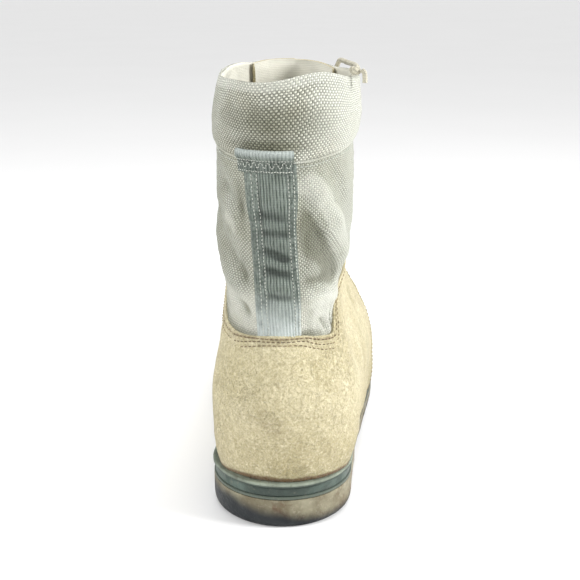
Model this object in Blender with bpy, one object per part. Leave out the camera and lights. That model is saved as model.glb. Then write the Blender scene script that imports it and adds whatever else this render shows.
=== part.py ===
"""Combat boot for the right foot, standing empty on its sole.

Metres, +Z up. The toe points along +Y and the outer side of the foot is +X.
The origin is on the floor, under the middle of the heel.
The upper is one hollow wall lofted over a last: a stack of rings that lie flat at the
welt, tilt more and more over the vamp and level out again up the shaft.
"""

import math

import bmesh
import bpy
import numpy as np
from mathutils import Vector

MM = 0.001

# Sole, over the edge of the welt
SOLE_LENGTH = 306 * MM
HEEL_ROUND = 39 * MM
TOE_ROUND = 66 * MM
SOLE_HEEL_HALF = 39 * MM
SOLE_WAIST_OUT = 44 * MM
SOLE_WAIST_IN = 34 * MM
SOLE_BALL_OUT = 51 * MM
SOLE_BALL_IN = 52 * MM
SOLE_TOE_OUT = 47 * MM
SOLE_TOE_IN = 46 * MM
TIP_SHIFT = -7 * MM
HEEL_STACK = 26 * MM
BALL_STACK = 16 * MM
TOE_SPRING = 10 * MM
WELT_THICK = 2.4 * MM
WELT_EDGE_ROUND = 0.35 * MM
MIDSOLE_THICK = 6.6 * MM
MIDSOLE_INSET = 1.2 * MM
HEEL_EDGE_ROUND = 3.2 * MM
HEEL_BLOCK_LENGTH = 76 * MM
ARCH_LENGTH = 56 * MM
SHANK_THICK = 4.0 * MM
LUG_DEPTH = 3.2 * MM
LUG_GAP = 4.2 * MM
LUG_PITCH = 15 * MM
FOREFOOT_GROOVES = 8
HEEL_GROOVES = 3
HEEL_LUG_RIM = 10 * MM
CHANNEL_DEPTH = 2.6 * MM
SPRING_START = 0.70
FIRST_GROOVE = 0.9
FIRST_HEEL_GROOVE = 1.0
ARCH_FALL_START = 0.35
CUTTER_MARGIN = 20 * MM
CUTTER_DROP = 5 * MM

# Last, inside the upper
WELT_LEDGE = 3.2 * MM
LAST_HEEL_HALF = 38 * MM
LAST_WAIST_OUT = 42 * MM
LAST_WAIST_IN = 34 * MM
LAST_BALL_OUT = 48 * MM
LAST_BALL_IN = 47 * MM
LAST_TOE_HALF = 42 * MM
COUNTER_RISE = 77 * MM
INSTEP_RISE = 101 * MM

# Shaft, inside the upper
COLLAR_RISE = 206 * MM
SHAFT_HALF = 38 * MM
SHAFT_DEPTH = 122 * MM
CUFF_HEIGHT = 37 * MM
HEM_HEIGHT = 3 * MM

# Walls
SUEDE_WALL = 3.2 * MM
CANVAS_WALL = 1.8 * MM
HEM_WALL = 2.8 * MM
CUFF_WALL = 4.2 * MM
CUFF_WALL_LOW = 3.6 * MM
CUFF_WALL_TOP = 3.2 * MM
STEP_RUN = 0.8 * MM
FIT_GAP = 0.3 * MM

# Throat, tongue, facings, webbing, eyelets and lace
THROAT_GAP_LOW = 8 * MM
THROAT_GAP_TOP = 13 * MM
TONGUE_THICK = 4.0 * MM
TONGUE_RISE = 2 * MM
TONGUE_GAP = 0.6 * MM
EYESTAY_WIDTH = 23 * MM
EYESTAY_THICK = 1.6 * MM
EYELET_INSET = 11 * MM
EYELET_PAIRS = 8
EYELET_RADIUS = 3.3 * MM
EYELET_WIRE = 1.0 * MM
EYELET_END_MARGIN = 12 * MM
EYELET_SEAT_GAP = 0.1 * MM
WEBBING_WIDTH = 25.4 * MM
WEBBING_THICK = 1.2 * MM
WEBBING_LEAN = -4.5 * MM
FOLD_RISE = 6.5 * MM
FOLD_THICK = 2.2 * MM
INSOLE_THICK = 4.0 * MM
INSOLE_CLEARANCE = 2.8 * MM
LACE_DIAMETER = 2.8 * MM
LACE_OVER_TONGUE = 3.0 * MM
KNOT_DIAMETER = 6.4 * MM

# Where the sole and the last are measured, as shares of their length from the heel end
STATIONS = (0.0, 0.14, 0.42, 0.68, 0.88, 1.0)

# The sole's top line: share of its length, then shares of heel stack, ball stack and spring
SOLE_TOP = (
    (0.00, 1.00, 0.00, 0.00),
    (0.22, 0.97, 0.00, 0.00),
    (0.36, 0.50, 0.45, 0.00),
    (0.50, 0.12, 0.90, 0.00),
    (0.65, 0.00, 1.00, 0.00),
    (0.80, 0.00, 1.00, 0.22),
    (0.90, 0.00, 1.00, 0.58),
    (1.00, 0.00, 1.00, 1.05),
)

# Rings over the foot. Rises are shares of COUNTER_RISE and INSTEP_RISE, back and front
# are shares of the last's length from its heel end, half widths are shares of the
# last's own, rounds are shares of the heel's and the toe's, tip is a share of the toe's
# shift, and follow is how far the ring follows the sole's top line.
FOOT_COLUMNS = ("back_rise", "front_rise", "back", "front", "tip", "heel_out", "heel_in",
                "waist_out", "waist_in", "ball_out", "ball_in", "toe_out", "toe_in",
                "heel_round", "toe_round", "follow")
FOOT_RINGS = (
    (0.000, 0.00, 0.000, 1.000, 1.0, 0.92, 0.86, 0.99, 0.77, 0.96, 0.96, 1.00, 0.95, 1.00, 1.00, 1.00),
    (0.127, 0.11, -0.007, 1.008, 1.0, 1.00, 0.91, 1.03, 0.87, 0.99, 1.00, 1.02, 0.98, 1.02, 0.98, 0.85),
    (0.266, 0.24, -0.010, 1.005, 0.9, 1.03, 0.93, 1.04, 0.93, 0.97, 1.01, 0.98, 0.97, 1.04, 0.94, 0.55),
    (0.405, 0.37, -0.010, 0.957, 0.8, 1.04, 0.93, 1.03, 0.95, 0.90, 0.97, 0.90, 0.91, 1.06, 0.90, 0.30),
    (0.544, 0.48, -0.008, 0.869, 0.6, 1.02, 0.92, 0.98, 0.95, 0.80, 0.91, 0.80, 0.85, 1.08, 0.84, 0.15),
    (0.671, 0.62, -0.001, 0.760, 0.4, 0.94, 0.89, 0.88, 0.94, 0.68, 0.84, 0.70, 0.80, 1.10, 0.78, 0.05),
    (0.785, 0.80, 0.010, 0.651, 0.2, 0.83, 0.84, 0.75, 0.94, 0.59, 0.78, 0.62, 0.74, 1.12, 0.74, 0.00),
    (0.899, 1.00, 0.022, 0.559, 0.1, 0.72, 0.79, 0.66, 0.94, 0.57, 0.74, 0.58, 0.70, 1.15, 0.72, 0.00),
)

# Rings up the shaft, the first along the top of the suede. Rises are shares of the way
# from COUNTER_RISE to COLLAR_RISE, back, depth and rounds are shares of SHAFT_DEPTH,
# and half widths are shares of SHAFT_HALF.
SHAFT_COLUMNS = ("back_rise", "front_rise", "back", "depth", "heel_out", "heel_in", "mid_out",
                 "mid_in", "front_out", "front_in", "brow", "back_round", "front_round")
SHAFT_RINGS = (
    (0.000, 0.330, 0.082, 1.107, 0.66, 0.74, 0.73, 0.86, 0.73, 0.82, 0.69, 0.34, 0.36),
    (0.134, 0.430, 0.090, 1.033, 0.76, 0.84, 0.82, 0.92, 0.80, 0.87, 0.73, 0.36, 0.37),
    (0.276, 0.530, 0.082, 0.996, 0.85, 0.88, 0.90, 0.94, 0.87, 0.89, 0.76, 0.38, 0.38),
    (0.417, 0.634, 0.057, 0.996, 0.87, 0.89, 0.90, 0.93, 0.88, 0.90, 0.78, 0.40, 0.39),
    (0.567, 0.730, 0.033, 1.000, 0.87, 0.89, 0.87, 0.92, 0.87, 0.89, 0.78, 0.41, 0.40),
    (0.709, 0.828, 0.016, 1.008, 0.86, 0.88, 0.88, 0.91, 0.87, 0.88, 0.77, 0.41, 0.40),
    (0.858, 0.922, 0.008, 1.008, 0.89, 0.86, 0.92, 0.87, 0.90, 0.85, 0.77, 0.42, 0.40),
    (1.000, 1.010, 0.008, 1.000, 0.90, 0.84, 0.93, 0.84, 0.91, 0.83, 0.77, 0.42, 0.40),
)

# Levels number the rings from the welt up, and a level between two rings is a ring too
SUEDE_TOP = float(len(FOOT_RINGS))
COLLAR_TOP = float(len(FOOT_RINGS) + len(SHAFT_RINGS) - 1)
EYESTAY_START = 5.6
THROAT_START = 6.3
FOOT_LEVELS = (0.0, 0.5, 1.0, 1.7, 2.4, 3.1, 3.8, 4.5, 5.1, EYESTAY_START, THROAT_START, 6.9, 7.5)
CANVAS_RINGS = 4
STEP_LEVELS = 0.1
FINE_STEPS = 140
SIDE_COLUMNS = 20
SOLE_STEPS = 28
ARCH_STEPS = 10
SHARP_ANGLE = math.radians(35)
SEAT_SAMPLES = 25

# Columns crowd at the heel and toe by this share, and take their fixed places over
# these levels; the webbing reaches its full lean at the last of these
END_CROWDING = 0.45
FIXED_START = 3.4
FIXED_RUN = 2.0
LEAN_END = COLLAR_TOP - 2

HEEL_END = -HEEL_ROUND
LAST_INSET = WELT_LEDGE + SUEDE_WALL
LAST_START = HEEL_END + LAST_INSET
LAST_LENGTH = SOLE_LENGTH - 2 * LAST_INSET
HEEL_BREAST = HEEL_END + HEEL_BLOCK_LENGTH
FOREFOOT_START = HEEL_BREAST + ARCH_LENGTH
CUFF_RISE = COLLAR_RISE - CUFF_HEIGHT

# The loose end of the lace: up from the top outer eyelet, over the facing's edge and back
# along the collar to a knot, then the short tail on the knot's far side
LACE_END_ROUTE = (
    (0.0241, 0.0814, 0.2282),
    (0.0246, 0.0806, 0.2308),
    (0.0256, 0.0786, 0.2333),
    (0.0265, 0.0755, 0.2352),
    (0.0275, 0.0710, 0.2358),
    (0.0313, 0.0605, 0.2354),
    (0.0354, 0.0480, 0.2351),
    (0.0370, 0.0350, 0.2349),
    (0.0371, 0.0220, 0.2348),
    (0.0367, 0.0100, 0.2347),
    (0.0364, 0.0042, 0.2349),
)
KNOT_PLACE = (0.0364, 0.0006, 0.2362)
LACE_TAIL_ROUTE = (
    (0.0399, -0.0008, 0.2364),
    (0.0409, -0.0017, 0.2355),
    (0.0413, -0.0023, 0.2332),
    (0.0414, -0.0027, 0.2303),
)

COLOURS = {
    "suede": ((0.56, 0.50, 0.35), 0.95, 0.0),
    "webbing": ((0.33, 0.37, 0.34), 0.85, 0.0),
    "lining": ((0.30, 0.31, 0.29), 0.9, 0.0),
    "welt": ((0.36, 0.42, 0.35), 0.6, 0.0),
    "midsole": ((0.10, 0.14, 0.11), 0.55, 0.0),
    "outsole": ((0.24, 0.21, 0.17), 0.6, 0.0),
    "lace": ((0.52, 0.50, 0.40), 0.8, 0.0),
    "eyelet": ((0.25, 0.27, 0.24), 0.4, 0.8),
}


# Curves through the tables

def curve_through(places, values, at):
    """Smooth curve through (places, values), read at the places in at.

    Each stretch is a cubic, and its slopes at both ends come from the neighbours."""
    places = np.asarray(places, float)
    values = np.asarray(values, float)
    slopes = np.gradient(values, places)
    at = np.clip(at, places[0], places[-1])
    left = np.clip(np.searchsorted(places, at, side="right") - 1, 0, len(places) - 2)
    run = places[left + 1] - places[left]
    t = (at - places[left]) / run
    return ((2 * t**3 - 3 * t**2 + 1) * values[left] + (t**3 - 2 * t**2 + t) * run * slopes[left]
            + (3 * t**2 - 2 * t**3) * values[left + 1] + (t**3 - t**2) * run * slopes[left + 1])


def running_length(line):
    """Length along a line of points, at each of them."""
    return np.concatenate([[0], np.cumsum(np.linalg.norm(np.diff(line, axis=0), axis=1))])


def smooth_route(points, count):
    """Points evenly along a smooth curve through a route."""
    route = np.array(points)
    at = running_length(route)
    places = np.linspace(0, at[-1], count)
    return np.stack([curve_through(at, route[:, axis], places) for axis in range(3)], axis=1)


def sole_top(y):
    """Height of the sole's top face at y."""
    rows = np.array(SOLE_TOP)
    heights = rows[:, 1] * HEEL_STACK + rows[:, 2] * BALL_STACK + rows[:, 3] * TOE_SPRING
    return curve_through(rows[:, 0], heights, (np.asarray(y) - HEEL_END) / SOLE_LENGTH)


def sole_bottom(y):
    """Height of the tread at y: flat on the floor, then rising under the toe."""
    spring_start = HEEL_END + SPRING_START * SOLE_LENGTH
    toe_run = HEEL_END + SOLE_LENGTH - spring_start
    return TOE_SPRING * np.clip((np.asarray(y) - spring_start) / toe_run, 0, 1) ** 2


def rounded_half(along, length, width, heel_round, toe_round):
    """A half width that closes in an ellipse over each end's round."""
    heel = np.sqrt(1 - (1 - np.clip(along / heel_round, 0, 1)) ** 2)
    toe = np.sqrt(1 - (1 - np.clip((length - along) / toe_round, 0, 1)) ** 2)
    return width * heel * toe


def sole_outline(inset, share, side):
    """x and y of the sole's outline, moved in by inset, at these shares of its length."""
    halves = ((SOLE_HEEL_HALF, SOLE_HEEL_HALF, SOLE_WAIST_OUT, SOLE_BALL_OUT, SOLE_TOE_OUT, SOLE_TOE_OUT)
              if side > 0 else
              (SOLE_HEEL_HALF, SOLE_HEEL_HALF, SOLE_WAIST_IN, SOLE_BALL_IN, SOLE_TOE_IN, SOLE_TOE_IN))
    length = SOLE_LENGTH - 2 * inset
    width = curve_through(STATIONS, np.array(halves) - inset, share)
    half = rounded_half(share * length, length, width, HEEL_ROUND - inset, TOE_ROUND - inset)
    tip = TIP_SHIFT * np.clip(2 * share - 1, 0, 1) ** 2
    return tip + side * half, HEEL_END + inset + share * length


# The last as a stack of rings

def ring_table():
    """Each ring's sizes in metres, the foot's rings first, in the order ring_line reads."""
    rows = []
    for values in FOOT_RINGS:
        ring = dict(zip(FOOT_COLUMNS, values))
        rows.append((
            LAST_START + ring["back"] * LAST_LENGTH, ring["back_rise"] * COUNTER_RISE,
            LAST_START + ring["front"] * LAST_LENGTH, ring["front_rise"] * INSTEP_RISE,
            ring["tip"] * TIP_SHIFT,
            ring["heel_out"] * LAST_HEEL_HALF, ring["heel_in"] * LAST_HEEL_HALF,
            ring["waist_out"] * LAST_WAIST_OUT, ring["waist_in"] * LAST_WAIST_IN,
            ring["ball_out"] * LAST_BALL_OUT, ring["ball_in"] * LAST_BALL_IN,
            ring["toe_out"] * LAST_TOE_HALF, ring["toe_in"] * LAST_TOE_HALF,
            ring["heel_round"] * (HEEL_ROUND - LAST_INSET),
            ring["toe_round"] * (TOE_ROUND - LAST_INSET), ring["follow"]))
    shaft_rise = COLLAR_RISE - COUNTER_RISE
    for values in SHAFT_RINGS:
        ring = dict(zip(SHAFT_COLUMNS, values))
        back = LAST_START + ring["back"] * SHAFT_DEPTH
        rows.append((
            back, COUNTER_RISE + ring["back_rise"] * shaft_rise,
            back + ring["depth"] * SHAFT_DEPTH, COUNTER_RISE + ring["front_rise"] * shaft_rise,
            0.0, ring["heel_out"] * SHAFT_HALF, ring["heel_in"] * SHAFT_HALF,
            ring["mid_out"] * SHAFT_HALF, ring["mid_in"] * SHAFT_HALF,
            ring["front_out"] * SHAFT_HALF, ring["front_in"] * SHAFT_HALF,
            ring["brow"] * SHAFT_HALF, ring["brow"] * SHAFT_HALF,
            ring["back_round"] * SHAFT_DEPTH, ring["front_round"] * SHAFT_DEPTH, 0.0))
    return np.array(rows)


RINGS = ring_table()


def ring_line(level, side):
    """Fine points of the ring at this level, from the heel seam round one side to the front."""
    (back_y, back_z, front_y, front_z, tip, heel_out, heel_in, waist_out, waist_in, ball_out,
     ball_in, toe_out, toe_in, heel_round, toe_round, follow) = (
        curve_through(np.arange(len(RINGS)), column, level) for column in RINGS.T)
    halves = ((heel_out, heel_out, waist_out, ball_out, toe_out, toe_out) if side > 0
              else (heel_in, heel_in, waist_in, ball_in, toe_in, toe_in))
    share = (1 - np.cos(np.linspace(0, np.pi, FINE_STEPS))) / 2
    depth = front_y - back_y
    half = rounded_half(share * depth, depth, curve_through(STATIONS, halves, share),
                        heel_round, toe_round)
    y = back_y + share * depth
    z = HEEL_STACK + FIT_GAP + back_z + (front_z - back_z) * share
    z += follow * (sole_top(y) - sole_top(back_y))
    x = tip * np.clip(2 * share - 1, 0, 1) ** 2 + side * half
    return np.stack([x, y, z], axis=1)


def heel_rise(levels):
    """Height of the heel seam over the heel seat at these levels."""
    return curve_through(np.arange(len(RINGS)), RINGS[:, 1], levels)


def level_at_rise(rise):
    """The level whose ring meets the heel seam at this height over the heel seat."""
    levels = np.linspace(0, COLLAR_TOP, 800)
    return float(np.interp(rise, heel_rise(levels), levels))


def throat_gap(level):
    """Half of the throat's opening at this level, measured along the ring."""
    share = np.clip((level - THROAT_START) / (COLLAR_TOP - THROAT_START), 0, 1)
    return THROAT_GAP_LOW + (THROAT_GAP_TOP - THROAT_GAP_LOW) * share


def webbing_lean(level):
    """How far the webbing has wandered off the heel's middle at this level."""
    share = np.clip((level - SUEDE_TOP) / (LEAN_END - SUEDE_TOP), 0, 1)
    return WEBBING_LEAN * share


def column_places(level, length):
    """Distances of a side's columns along its ring.

    Over the foot they crowd at the heel and toe. Up the shaft the first ones keep the
    webbing's width and the last ones keep the facing's width and the throat's gap."""
    even = np.linspace(0, 1, SIDE_COLUMNS)
    crowded = length * (even - END_CROWDING * np.sin(2 * np.pi * even) / (2 * np.pi))
    edge = length - throat_gap(level)
    back = [0, WEBBING_WIDTH / 4, WEBBING_WIDTH / 2]
    front = [edge - EYESTAY_WIDTH, edge - EYELET_INSET, edge, length]
    between = np.linspace(back[-1], front[0], SIDE_COLUMNS - len(back) - len(front) + 2)[1:-1]
    fixed = np.concatenate([back, between, front])
    blend = np.clip((level - FIXED_START) / FIXED_RUN, 0, 1)
    blend = blend * blend * (3 - 2 * blend)
    return crowded + (fixed - crowded) * blend


def upper_levels():
    """Every ring that the upper is built on, with a pair of rings at each step of its wall."""
    half_step = STEP_RUN / 2
    steps = [level_at_rise(rise) for rise in (
        COUNTER_RISE - half_step, COUNTER_RISE + half_step,
        CUFF_RISE - HEM_HEIGHT, CUFF_RISE - HEM_HEIGHT + STEP_RUN,
        CUFF_RISE - half_step, CUFF_RISE + half_step,
        CUFF_RISE + FOLD_RISE, CUFF_RISE + 0.5 * CUFF_HEIGHT, CUFF_RISE + 0.8 * CUFF_HEIGHT)]
    canvas = np.linspace(steps[1], steps[2], CANVAS_RINGS + 2)[1:-1]
    return np.array(sorted([*FOOT_LEVELS, *steps, *canvas, COLLAR_TOP]))


LEVELS = upper_levels()
MIDDLE = SIDE_COLUMNS - 1
LAST_COLUMN = 2 * MIDDLE
FACING = 3


def wall_thickness():
    """Thickness of the upper's wall on its grid: suede, canvas, hem and padded cuff.

    Under the facings it stays canvas right up to the collar."""
    half_step = STEP_RUN / 2
    places = (0, COUNTER_RISE - half_step, COUNTER_RISE + half_step, CUFF_RISE - HEM_HEIGHT,
              CUFF_RISE - HEM_HEIGHT + STEP_RUN, CUFF_RISE - half_step, CUFF_RISE + half_step,
              CUFF_RISE + FOLD_RISE, CUFF_RISE + 0.5 * CUFF_HEIGHT, COLLAR_RISE)
    cloth = (SUEDE_WALL, SUEDE_WALL, CANVAS_WALL, CANVAS_WALL, HEM_WALL, HEM_WALL, CANVAS_WALL,
             CUFF_WALL_LOW, CUFF_WALL, CUFF_WALL_TOP)
    rises = heel_rise(LEVELS)
    field = np.interp(rises, places, cloth)
    facing = np.interp(rises, places[:3], cloth[:3])
    from_front = np.minimum(np.arange(LAST_COLUMN + 1), LAST_COLUMN - np.arange(LAST_COLUMN + 1))
    return np.where(from_front[None, :] > FACING, field[:, None], facing[:, None])


def last_grid():
    """Points and outward normals of the last: a row for each level, columns right round.

    Column 0 and the last column both lie on the front line, and the middle column runs
    up the heel seam. The inner side of the foot comes first. The two rings at a step of
    the wall share their normals."""
    rows = []
    for level in LEVELS:
        medial, lateral = ring_line(level, -1), ring_line(level, 1)
        medial_at, lateral_at = running_length(medial), running_length(lateral)
        line = np.concatenate([medial[::-1], lateral[1:]])
        at = np.concatenate([-medial_at[::-1], lateral_at[1:]])
        places = np.concatenate([-column_places(level, medial_at[-1])[::-1],
                                 column_places(level, lateral_at[-1])[1:]])
        reach = np.where(places < 0, medial_at[-1], lateral_at[-1])
        places += webbing_lean(level) * (1 - np.abs(places) / reach)
        rows.append(np.stack([np.interp(places, at, line[:, axis]) for axis in range(3)], axis=1))
    points = np.array(rows)
    ring = points[:, :-1]
    across = np.roll(ring, -1, axis=1) - np.roll(ring, 1, axis=1)
    upward = np.gradient(ring, axis=0)
    normals = np.cross(across, upward)
    normals[0, :, 2] = 0
    normals /= np.linalg.norm(normals, axis=2, keepdims=True)
    for row in np.flatnonzero(np.diff(LEVELS) < STEP_LEVELS):
        normals[row:row + 2] = (normals[row] + normals[row + 1]) / 2
    normals /= np.linalg.norm(normals, axis=2, keepdims=True)
    return points, np.concatenate([normals, normals[:, :1]], axis=1)


LAST, OUTWARD = last_grid()
WALL = wall_thickness()


def lifted(lift):
    """The last's grid moved outwards by lift, a number or an array over the grid."""
    return LAST + OUTWARD * np.broadcast_to(np.asarray(lift, float), WALL.shape)[:, :, None]


def row_of(level):
    """Index of the grid's row at this level."""
    return int(np.argmin(np.abs(LEVELS - level)))


# Making objects

def clear_scene():
    """Remove whatever the file holds."""
    for item in list(bpy.data.objects):
        bpy.data.objects.remove(item, do_unlink=True)


def collection(name):
    """A new collection under the scene."""
    group = bpy.data.collections.new(name)
    bpy.context.scene.collection.children.link(group)
    return group


def material(name):
    """Principled material for one of the boot's finishes."""
    made = bpy.data.materials.get(name)
    if made is None:
        colour, roughness, metallic = COLOURS[name]
        made = bpy.data.materials.new(name)
        made.use_nodes = True
        shader = made.node_tree.nodes["Principled BSDF"]
        shader.inputs["Base Color"].default_value = (*colour, 1.0)
        shader.inputs["Roughness"].default_value = roughness
        shader.inputs["Metallic"].default_value = metallic
        made.diffuse_color = (*colour, 1.0)
    return made


def place(mesh, name, finish, group):
    """Put a mesh in a group as an object with its finish."""
    item = bpy.data.objects.new(name, mesh)
    mesh.materials.clear()
    mesh.materials.append(material(finish))
    group.objects.link(item)
    return item


def mesh_from(bm, name):
    """Turn a bmesh into a closed mesh of triangles, with the faces pointing out."""
    bmesh.ops.remove_doubles(bm, verts=bm.verts, dist=0.00001)
    bmesh.ops.triangulate(bm, faces=bm.faces, quad_method="FIXED", ngon_method="BEAUTY")
    bmesh.ops.recalc_face_normals(bm, faces=bm.faces)
    mesh = bpy.data.meshes.new(name)
    bm.to_mesh(mesh)
    bm.free()
    mesh.shade_smooth()
    mesh.set_sharp_from_angle(angle=SHARP_ANGLE)
    return mesh


def shell(name, outer, inner, used):
    """A closed sheet between two grids, made of the grid's quads where used is true.

    Columns 0 and the last are one line. Edges that only one quad uses get a side."""
    bm = bmesh.new()
    verts = {}

    def corner(skin, row, column):
        key = (skin, row, column % LAST_COLUMN)
        if key not in verts:
            verts[key] = bm.verts.new((outer, inner)[skin][row, key[2]])
        return verts[key]

    edges = {}
    for row, column in np.argwhere(used):
        quad = ((row, column), (row, column + 1), (row + 1, column + 1), (row + 1, column))
        bm.faces.new([corner(0, *spot) for spot in quad])
        bm.faces.new([corner(1, *quad[k]) for k in (0, 3, 2, 1)])
        for start, end in zip(quad, quad[1:] + quad[:1]):
            ends = ((start[0], start[1] % LAST_COLUMN), (end[0], end[1] % LAST_COLUMN))
            if ends[::-1] in edges:
                del edges[ends[::-1]]
            else:
                edges[ends] = True
    for start, end in edges:
        bm.faces.new([corner(0, *end), corner(0, *start), corner(1, *start), corner(1, *end)])
    return mesh_from(bm, name)


def quads_between(first_row, last_row, columns):
    """Which quads of the grid lie between two rows, in the given columns."""
    used = np.zeros((len(LEVELS) - 1, LAST_COLUMN), bool)
    used[first_row:last_row, columns] = True
    return used


def sole_layer(name, rows):
    """A layer of the sole through outlines: rows of (inset, height as a function of y)."""
    share = (1 - np.cos(np.linspace(0, np.pi, SOLE_STEPS))) / 2
    bm = bmesh.new()
    grid = []
    for inset, height in rows:
        sides = []
        for side in (1, -1):
            x, y = sole_outline(inset, share, side)
            sides.append([bm.verts.new(point) for point in zip(x, y, height(y))])
        grid.append(sides)
    for lower, upper in zip(grid, grid[1:]):
        for side in (0, 1):
            for k in range(SOLE_STEPS - 1):
                bm.faces.new([lower[side][k], lower[side][k + 1], upper[side][k + 1], upper[side][k]])
    for sides in (grid[0], grid[-1]):
        for k in range(SOLE_STEPS - 1):
            bm.faces.new([sides[0][k], sides[0][k + 1], sides[1][k + 1], sides[1][k]])
    return mesh_from(bm, name)


def boxes(name, corners):
    """One mesh of separate boxes, each from its lowest and highest corner."""
    bm = bmesh.new()
    for low, high in corners:
        made = bmesh.ops.create_cube(bm, size=1.0)["verts"]
        bmesh.ops.scale(bm, vec=Vector(high) - Vector(low), verts=made)
        bmesh.ops.translate(bm, vec=(Vector(low) + Vector(high)) / 2, verts=made)
    return mesh_from(bm, name)


def cut(item, mesh, cutters, operation="DIFFERENCE"):
    """Cut a mesh from an object, or join it on, with a Boolean modifier."""
    cutter = place(mesh, mesh.name, "outsole", cutters)
    cutter.hide_render = True
    cutter.display_type = "WIRE"
    step = item.modifiers.new(mesh.name, "BOOLEAN")
    step.operation = operation
    step.object = cutter


def tube_mesh(name, points):
    """A closed tube of the lace's diameter along points, as a mesh."""
    curve = bpy.data.curves.new(name, "CURVE")
    curve.dimensions = "3D"
    curve.bevel_depth = LACE_DIAMETER / 2
    curve.bevel_resolution = 2
    curve.use_fill_caps = True
    spline = curve.splines.new("POLY")
    spline.points.add(len(points) - 1)
    for knot, point in zip(spline.points, points):
        knot.co = (*point, 1.0)
    guide = bpy.data.objects.new(name, curve)
    bpy.context.scene.collection.objects.link(guide)
    seen = guide.evaluated_get(bpy.context.evaluated_depsgraph_get())
    bm = bmesh.new()
    bm.from_mesh(bpy.data.meshes.new_from_object(seen))
    bpy.data.objects.remove(guide, do_unlink=True)
    return mesh_from(bm, name)


# The sole

def make_sole(group, cutters):
    """Welt, midsole and outsole, which rest on each other with a fitting gap."""
    def below_top(depth):
        return lambda y: sole_top(y) - depth

    midsole_top = WELT_THICK + FIT_GAP
    midsole_bottom = midsole_top + MIDSOLE_THICK
    outsole_top = midsole_bottom + FIT_GAP
    place(sole_layer("welt", [
        (WELT_EDGE_ROUND, below_top(WELT_THICK)), (0.0, below_top(0.7 * WELT_THICK)),
        (0.0, below_top(0.3 * WELT_THICK)), (WELT_EDGE_ROUND, below_top(0.0))]),
        "welt", "welt", group)
    place(sole_layer("midsole", [
        (0.5 * MIDSOLE_INSET, below_top(midsole_bottom)),
        (0.5 * MIDSOLE_INSET, below_top(midsole_bottom - 0.14 * MIDSOLE_THICK)),
        (MIDSOLE_INSET, below_top(midsole_bottom - 0.26 * MIDSOLE_THICK)),
        (MIDSOLE_INSET, below_top(midsole_top))]), "midsole", "midsole", group)

    def between(share):
        return lambda y: sole_bottom(y) + share * (sole_top(y) - outsole_top - sole_bottom(y))

    outsole = place(sole_layer("outsole", [
        (HEEL_EDGE_ROUND, between(0.0)), (0.48 * HEEL_EDGE_ROUND, between(0.14)),
        (0.24 * HEEL_EDGE_ROUND, between(0.55)), (0.16 * HEEL_EDGE_ROUND, between(1.0))]),
        "outsole", "outsole", group)
    cut(outsole, arch_mesh(outsole_top), cutters)
    cut(outsole, grooves_mesh(), cutters)
    cut(outsole, channel_mesh(), cutters)


def arch_mesh(outsole_top):
    """The hollow between the heel's breast and the forefoot, open to both sides."""
    share = np.linspace(0, 1, ARCH_STEPS)
    y = HEEL_BREAST + share * ARCH_LENGTH
    fall = np.clip((share - ARCH_FALL_START) / (1 - ARCH_FALL_START), 0, 1)
    roof = (sole_top(y) - outsole_top - SHANK_THICK) * (1 - fall * fall * (3 - 2 * fall))
    reach = SOLE_BALL_OUT + CUTTER_MARGIN
    bm = bmesh.new()
    sides = []
    for side in (-1, 1):
        top = [bm.verts.new((side * reach, a, b)) for a, b in zip(y, roof)]
        base = [bm.verts.new((side * reach, a, -CUTTER_DROP)) for a in y]
        sides.append((top, base))
        for k in range(ARCH_STEPS - 1):
            bm.faces.new([top[k], top[k + 1], base[k + 1], base[k]])
    (top_in, base_in), (top_out, base_out) = sides
    for k in range(ARCH_STEPS - 1):
        bm.faces.new([top_in[k], top_in[k + 1], top_out[k + 1], top_out[k]])
        bm.faces.new([base_in[k], base_in[k + 1], base_out[k + 1], base_out[k]])
    for k in (0, ARCH_STEPS - 1):
        bm.faces.new([top_in[k], top_out[k], base_out[k], base_in[k]])
    return mesh_from(bm, "arch_cutter")


def grooves_mesh():
    """Grooves across the forefoot, right through, and shorter ones under the heel."""
    reach = SOLE_BALL_OUT + CUTTER_MARGIN
    inner = SOLE_HEEL_HALF - HEEL_LUG_RIM
    corners = []
    for k in range(FOREFOOT_GROOVES):
        middle = FOREFOOT_START + (k + FIRST_GROOVE) * LUG_PITCH
        top = float(sole_bottom(middle)) + LUG_DEPTH
        corners.append(((-reach, middle - LUG_GAP / 2, -CUTTER_DROP),
                        (reach, middle + LUG_GAP / 2, top)))
    for k in range(HEEL_GROOVES):
        middle = HEEL_BREAST - (k + FIRST_HEEL_GROOVE) * LUG_PITCH
        corners.append(((-inner, middle - LUG_GAP / 2, -CUTTER_DROP),
                        (inner, middle + LUG_GAP / 2, LUG_DEPTH)))
    return boxes("groove_cutter", corners)


def channel_mesh():
    """The channel along the middle of the forefoot's lugs."""
    start = FOREFOOT_START + FIRST_GROOVE * LUG_PITCH
    end = start + (FOREFOOT_GROOVES - 1) * LUG_PITCH
    low = (-LUG_GAP / 2, start, -0.8 * CUTTER_DROP)
    high = (LUG_GAP / 2, end, CHANNEL_DEPTH)
    return boxes("channel_cutter", [(low, high)])


def make_insole(group):
    """The insole, flat inside the upper on the sole's top."""
    inset = LAST_INSET + INSOLE_CLEARANCE
    place(sole_layer("insole", [
        (inset, lambda y: sole_top(y) + FIT_GAP),
        (inset, lambda y: sole_top(y) + FIT_GAP + INSOLE_THICK)]), "insole", "lining", group)


# The upper and what is sewn on it

def make_upper(group):
    """The hollow wall from the welt to the collar, open underneath and at the throat."""
    outer = lifted(WALL)
    outer[0, :, 2] = sole_top(outer[0, :, 1]) + FIT_GAP
    used = quads_between(0, len(LEVELS) - 1, slice(None))
    used[row_of(THROAT_START):, [0, -1]] = False
    place(shell("upper", outer, LAST, used), "upper", "suede", group)


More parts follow.
